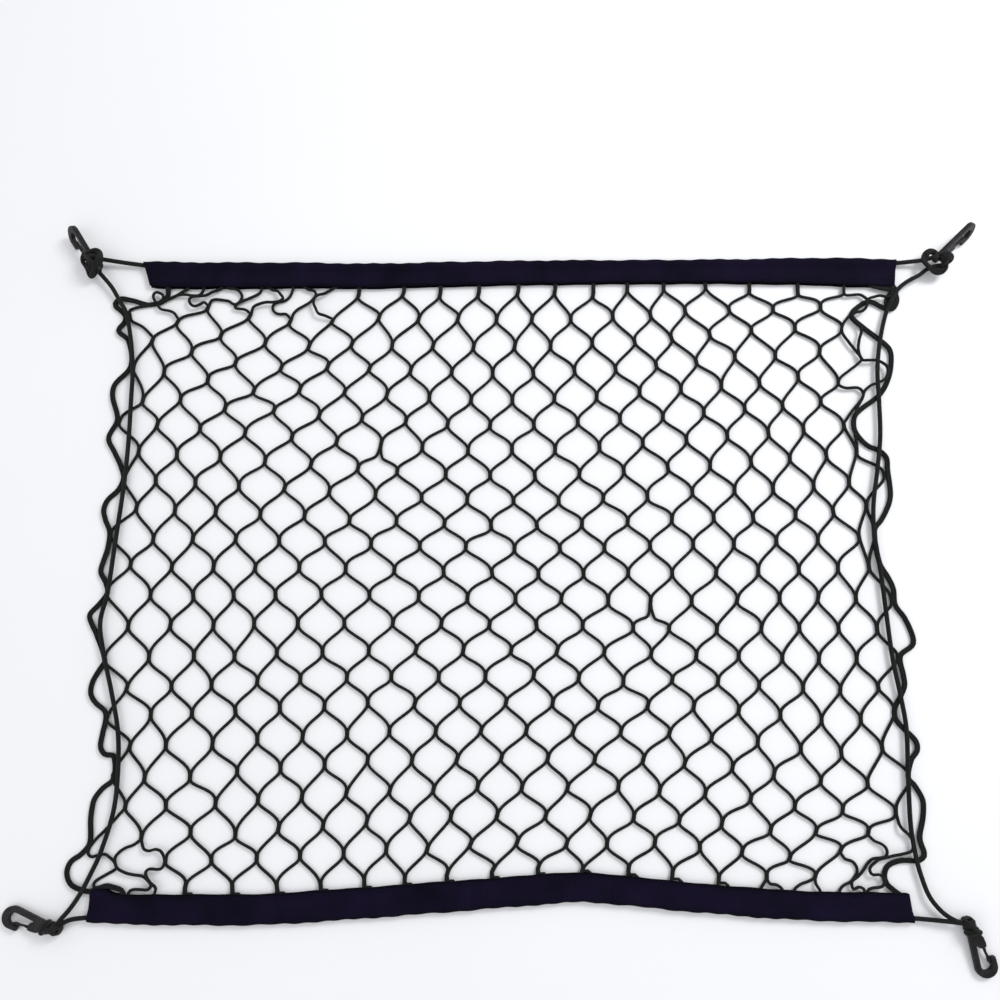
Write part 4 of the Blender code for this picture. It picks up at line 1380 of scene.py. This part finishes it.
class CARGONET_OT_hooks(bpy.types.Operator):
    """Mould the four snap hooks and their sprung gates"""
    bl_idname = "cargonet.hooks"
    bl_label = "Hooks and gates"

    def execute(self, context):
        settings = context.scene.cargonet_hooks
        finish = plastic_finish(settings.colour)
        for corner, hook in HOOKS.items():
            place = hook_frame(hook)
            body = moulding("hook_" + corner + "_moulding", [hook_outline(), eye_hole()],
                            HOOK_THICK, place, settings)
            settle(body, finish, ["hook_" + corner])
            gate = moulding("gate_" + corner + "_moulding", [gate_outline()],
                            GATE_THICK, place, settings)
            settle(gate, finish, ["gate_" + corner], "gate_" + corner)
        return {"FINISHED"}


# ---------------------------------------------------------------- studio


class CARGONET_OT_studio(bpy.types.Operator):
    """Set the pale floor, the soft lights and the camera"""
    bl_idname = "cargonet.studio"
    bl_label = "Floor, lights and camera"

    def execute(self, context):
        scene = context.scene
        settings = scene.cargonet_studio
        bm = bmesh.new()
        bmesh.ops.create_grid(bm, x_segments=2, y_segments=2, size=FLOOR_HALF,
                              matrix=Matrix.Translation((0, 0, -FLOOR_DROP)))
        floor = to_piece("floor", bm)
        floor.data.materials.append(floor_finish(settings.floor))

        camera = bpy.data.cameras.new("studio camera")
        camera.lens = CAMERA_LENS
        camera.sensor_width = CAMERA_SENSOR
        camera.shift_y = CAMERA_SHIFT
        holder = bpy.data.objects.new("studio camera", camera)
        scene.collection.objects.link(holder)
        back = settings.reach * math.sin(settings.lean)
        up = settings.reach * math.cos(settings.lean)
        holder.matrix_world = Matrix.Translation(Vector(CAMERA_AIM) + Vector((0, -back, up))) \
            @ Matrix.Rotation(settings.lean, 4, "X")
        scene.camera = holder

        world = bpy.data.worlds.new("studio air")
        world.use_nodes = True
        air = world.node_tree.nodes["Background"]
        air.inputs["Color"].default_value = AIR_COLOUR
        air.inputs["Strength"].default_value = AIR_STRENGTH
        scene.world = world
        scene.view_settings.view_transform = "Standard"
        for name, spot, size, power in LIGHTS:
            light = bpy.data.lights.new(name, "AREA")
            light.size = size
            light.energy = power
            lamp = bpy.data.objects.new(name, light)
            scene.collection.objects.link(lamp)
            lamp.location = spot
            lamp.rotation_euler = (-Vector(spot)).to_track_quat("-Z", "Y").to_euler()
        return {"FINISHED"}


# ---------------------------------------------------------------- the add-on


STEPS = (CARGONET_OT_studio, CARGONET_OT_cords, CARGONET_OT_bands, CARGONET_OT_netting,
         CARGONET_OT_knots, CARGONET_OT_hooks)


class CARGONET_PT_panel(bpy.types.Panel):
    """Shows the net's settings and a button for each building step"""
    bl_idname = "CARGONET_PT_panel"
    bl_label = "Cargo net"
    bl_space_type = "VIEW_3D"
    bl_region_type = "UI"
    bl_category = "Cargo net"

    def draw(self, context):
        for group in SETTINGS:
            box = self.layout.box()
            held = getattr(context.scene, group)
            for key in held.bl_rna.properties.keys():
                if key not in ("rna_type", "name"):
                    box.prop(held, key)
        for step in STEPS:
            self.layout.operator(step.bl_idname)


SETTINGS = {
    "cargonet_netting": NettingSettings,
    "cargonet_bands": BandSettings,
    "cargonet_cord": CordSettings,
    "cargonet_hooks": HookSettings,
    "cargonet_studio": StudioSettings,
}


def register():
    for name, group in SETTINGS.items():
        bpy.utils.register_class(group)
        setattr(bpy.types.Scene, name, bpy.props.PointerProperty(type=group))
    for step in STEPS:
        bpy.utils.register_class(step)
    bpy.utils.register_class(CARGONET_PT_panel)


def unregister():
    bpy.utils.unregister_class(CARGONET_PT_panel)
    for step in reversed(STEPS):
        bpy.utils.unregister_class(step)
    for name, group in reversed(SETTINGS.items()):
        delattr(bpy.types.Scene, name)
        bpy.utils.unregister_class(group)


def main():
    register()
    bpy.ops.cargonet.studio()
    bpy.ops.cargonet.cords()
    bpy.ops.cargonet.bands()
    bpy.ops.cargonet.netting()
    bpy.ops.cargonet.knots()
    bpy.ops.cargonet.hooks()


if __name__ == "__main__":
    main()
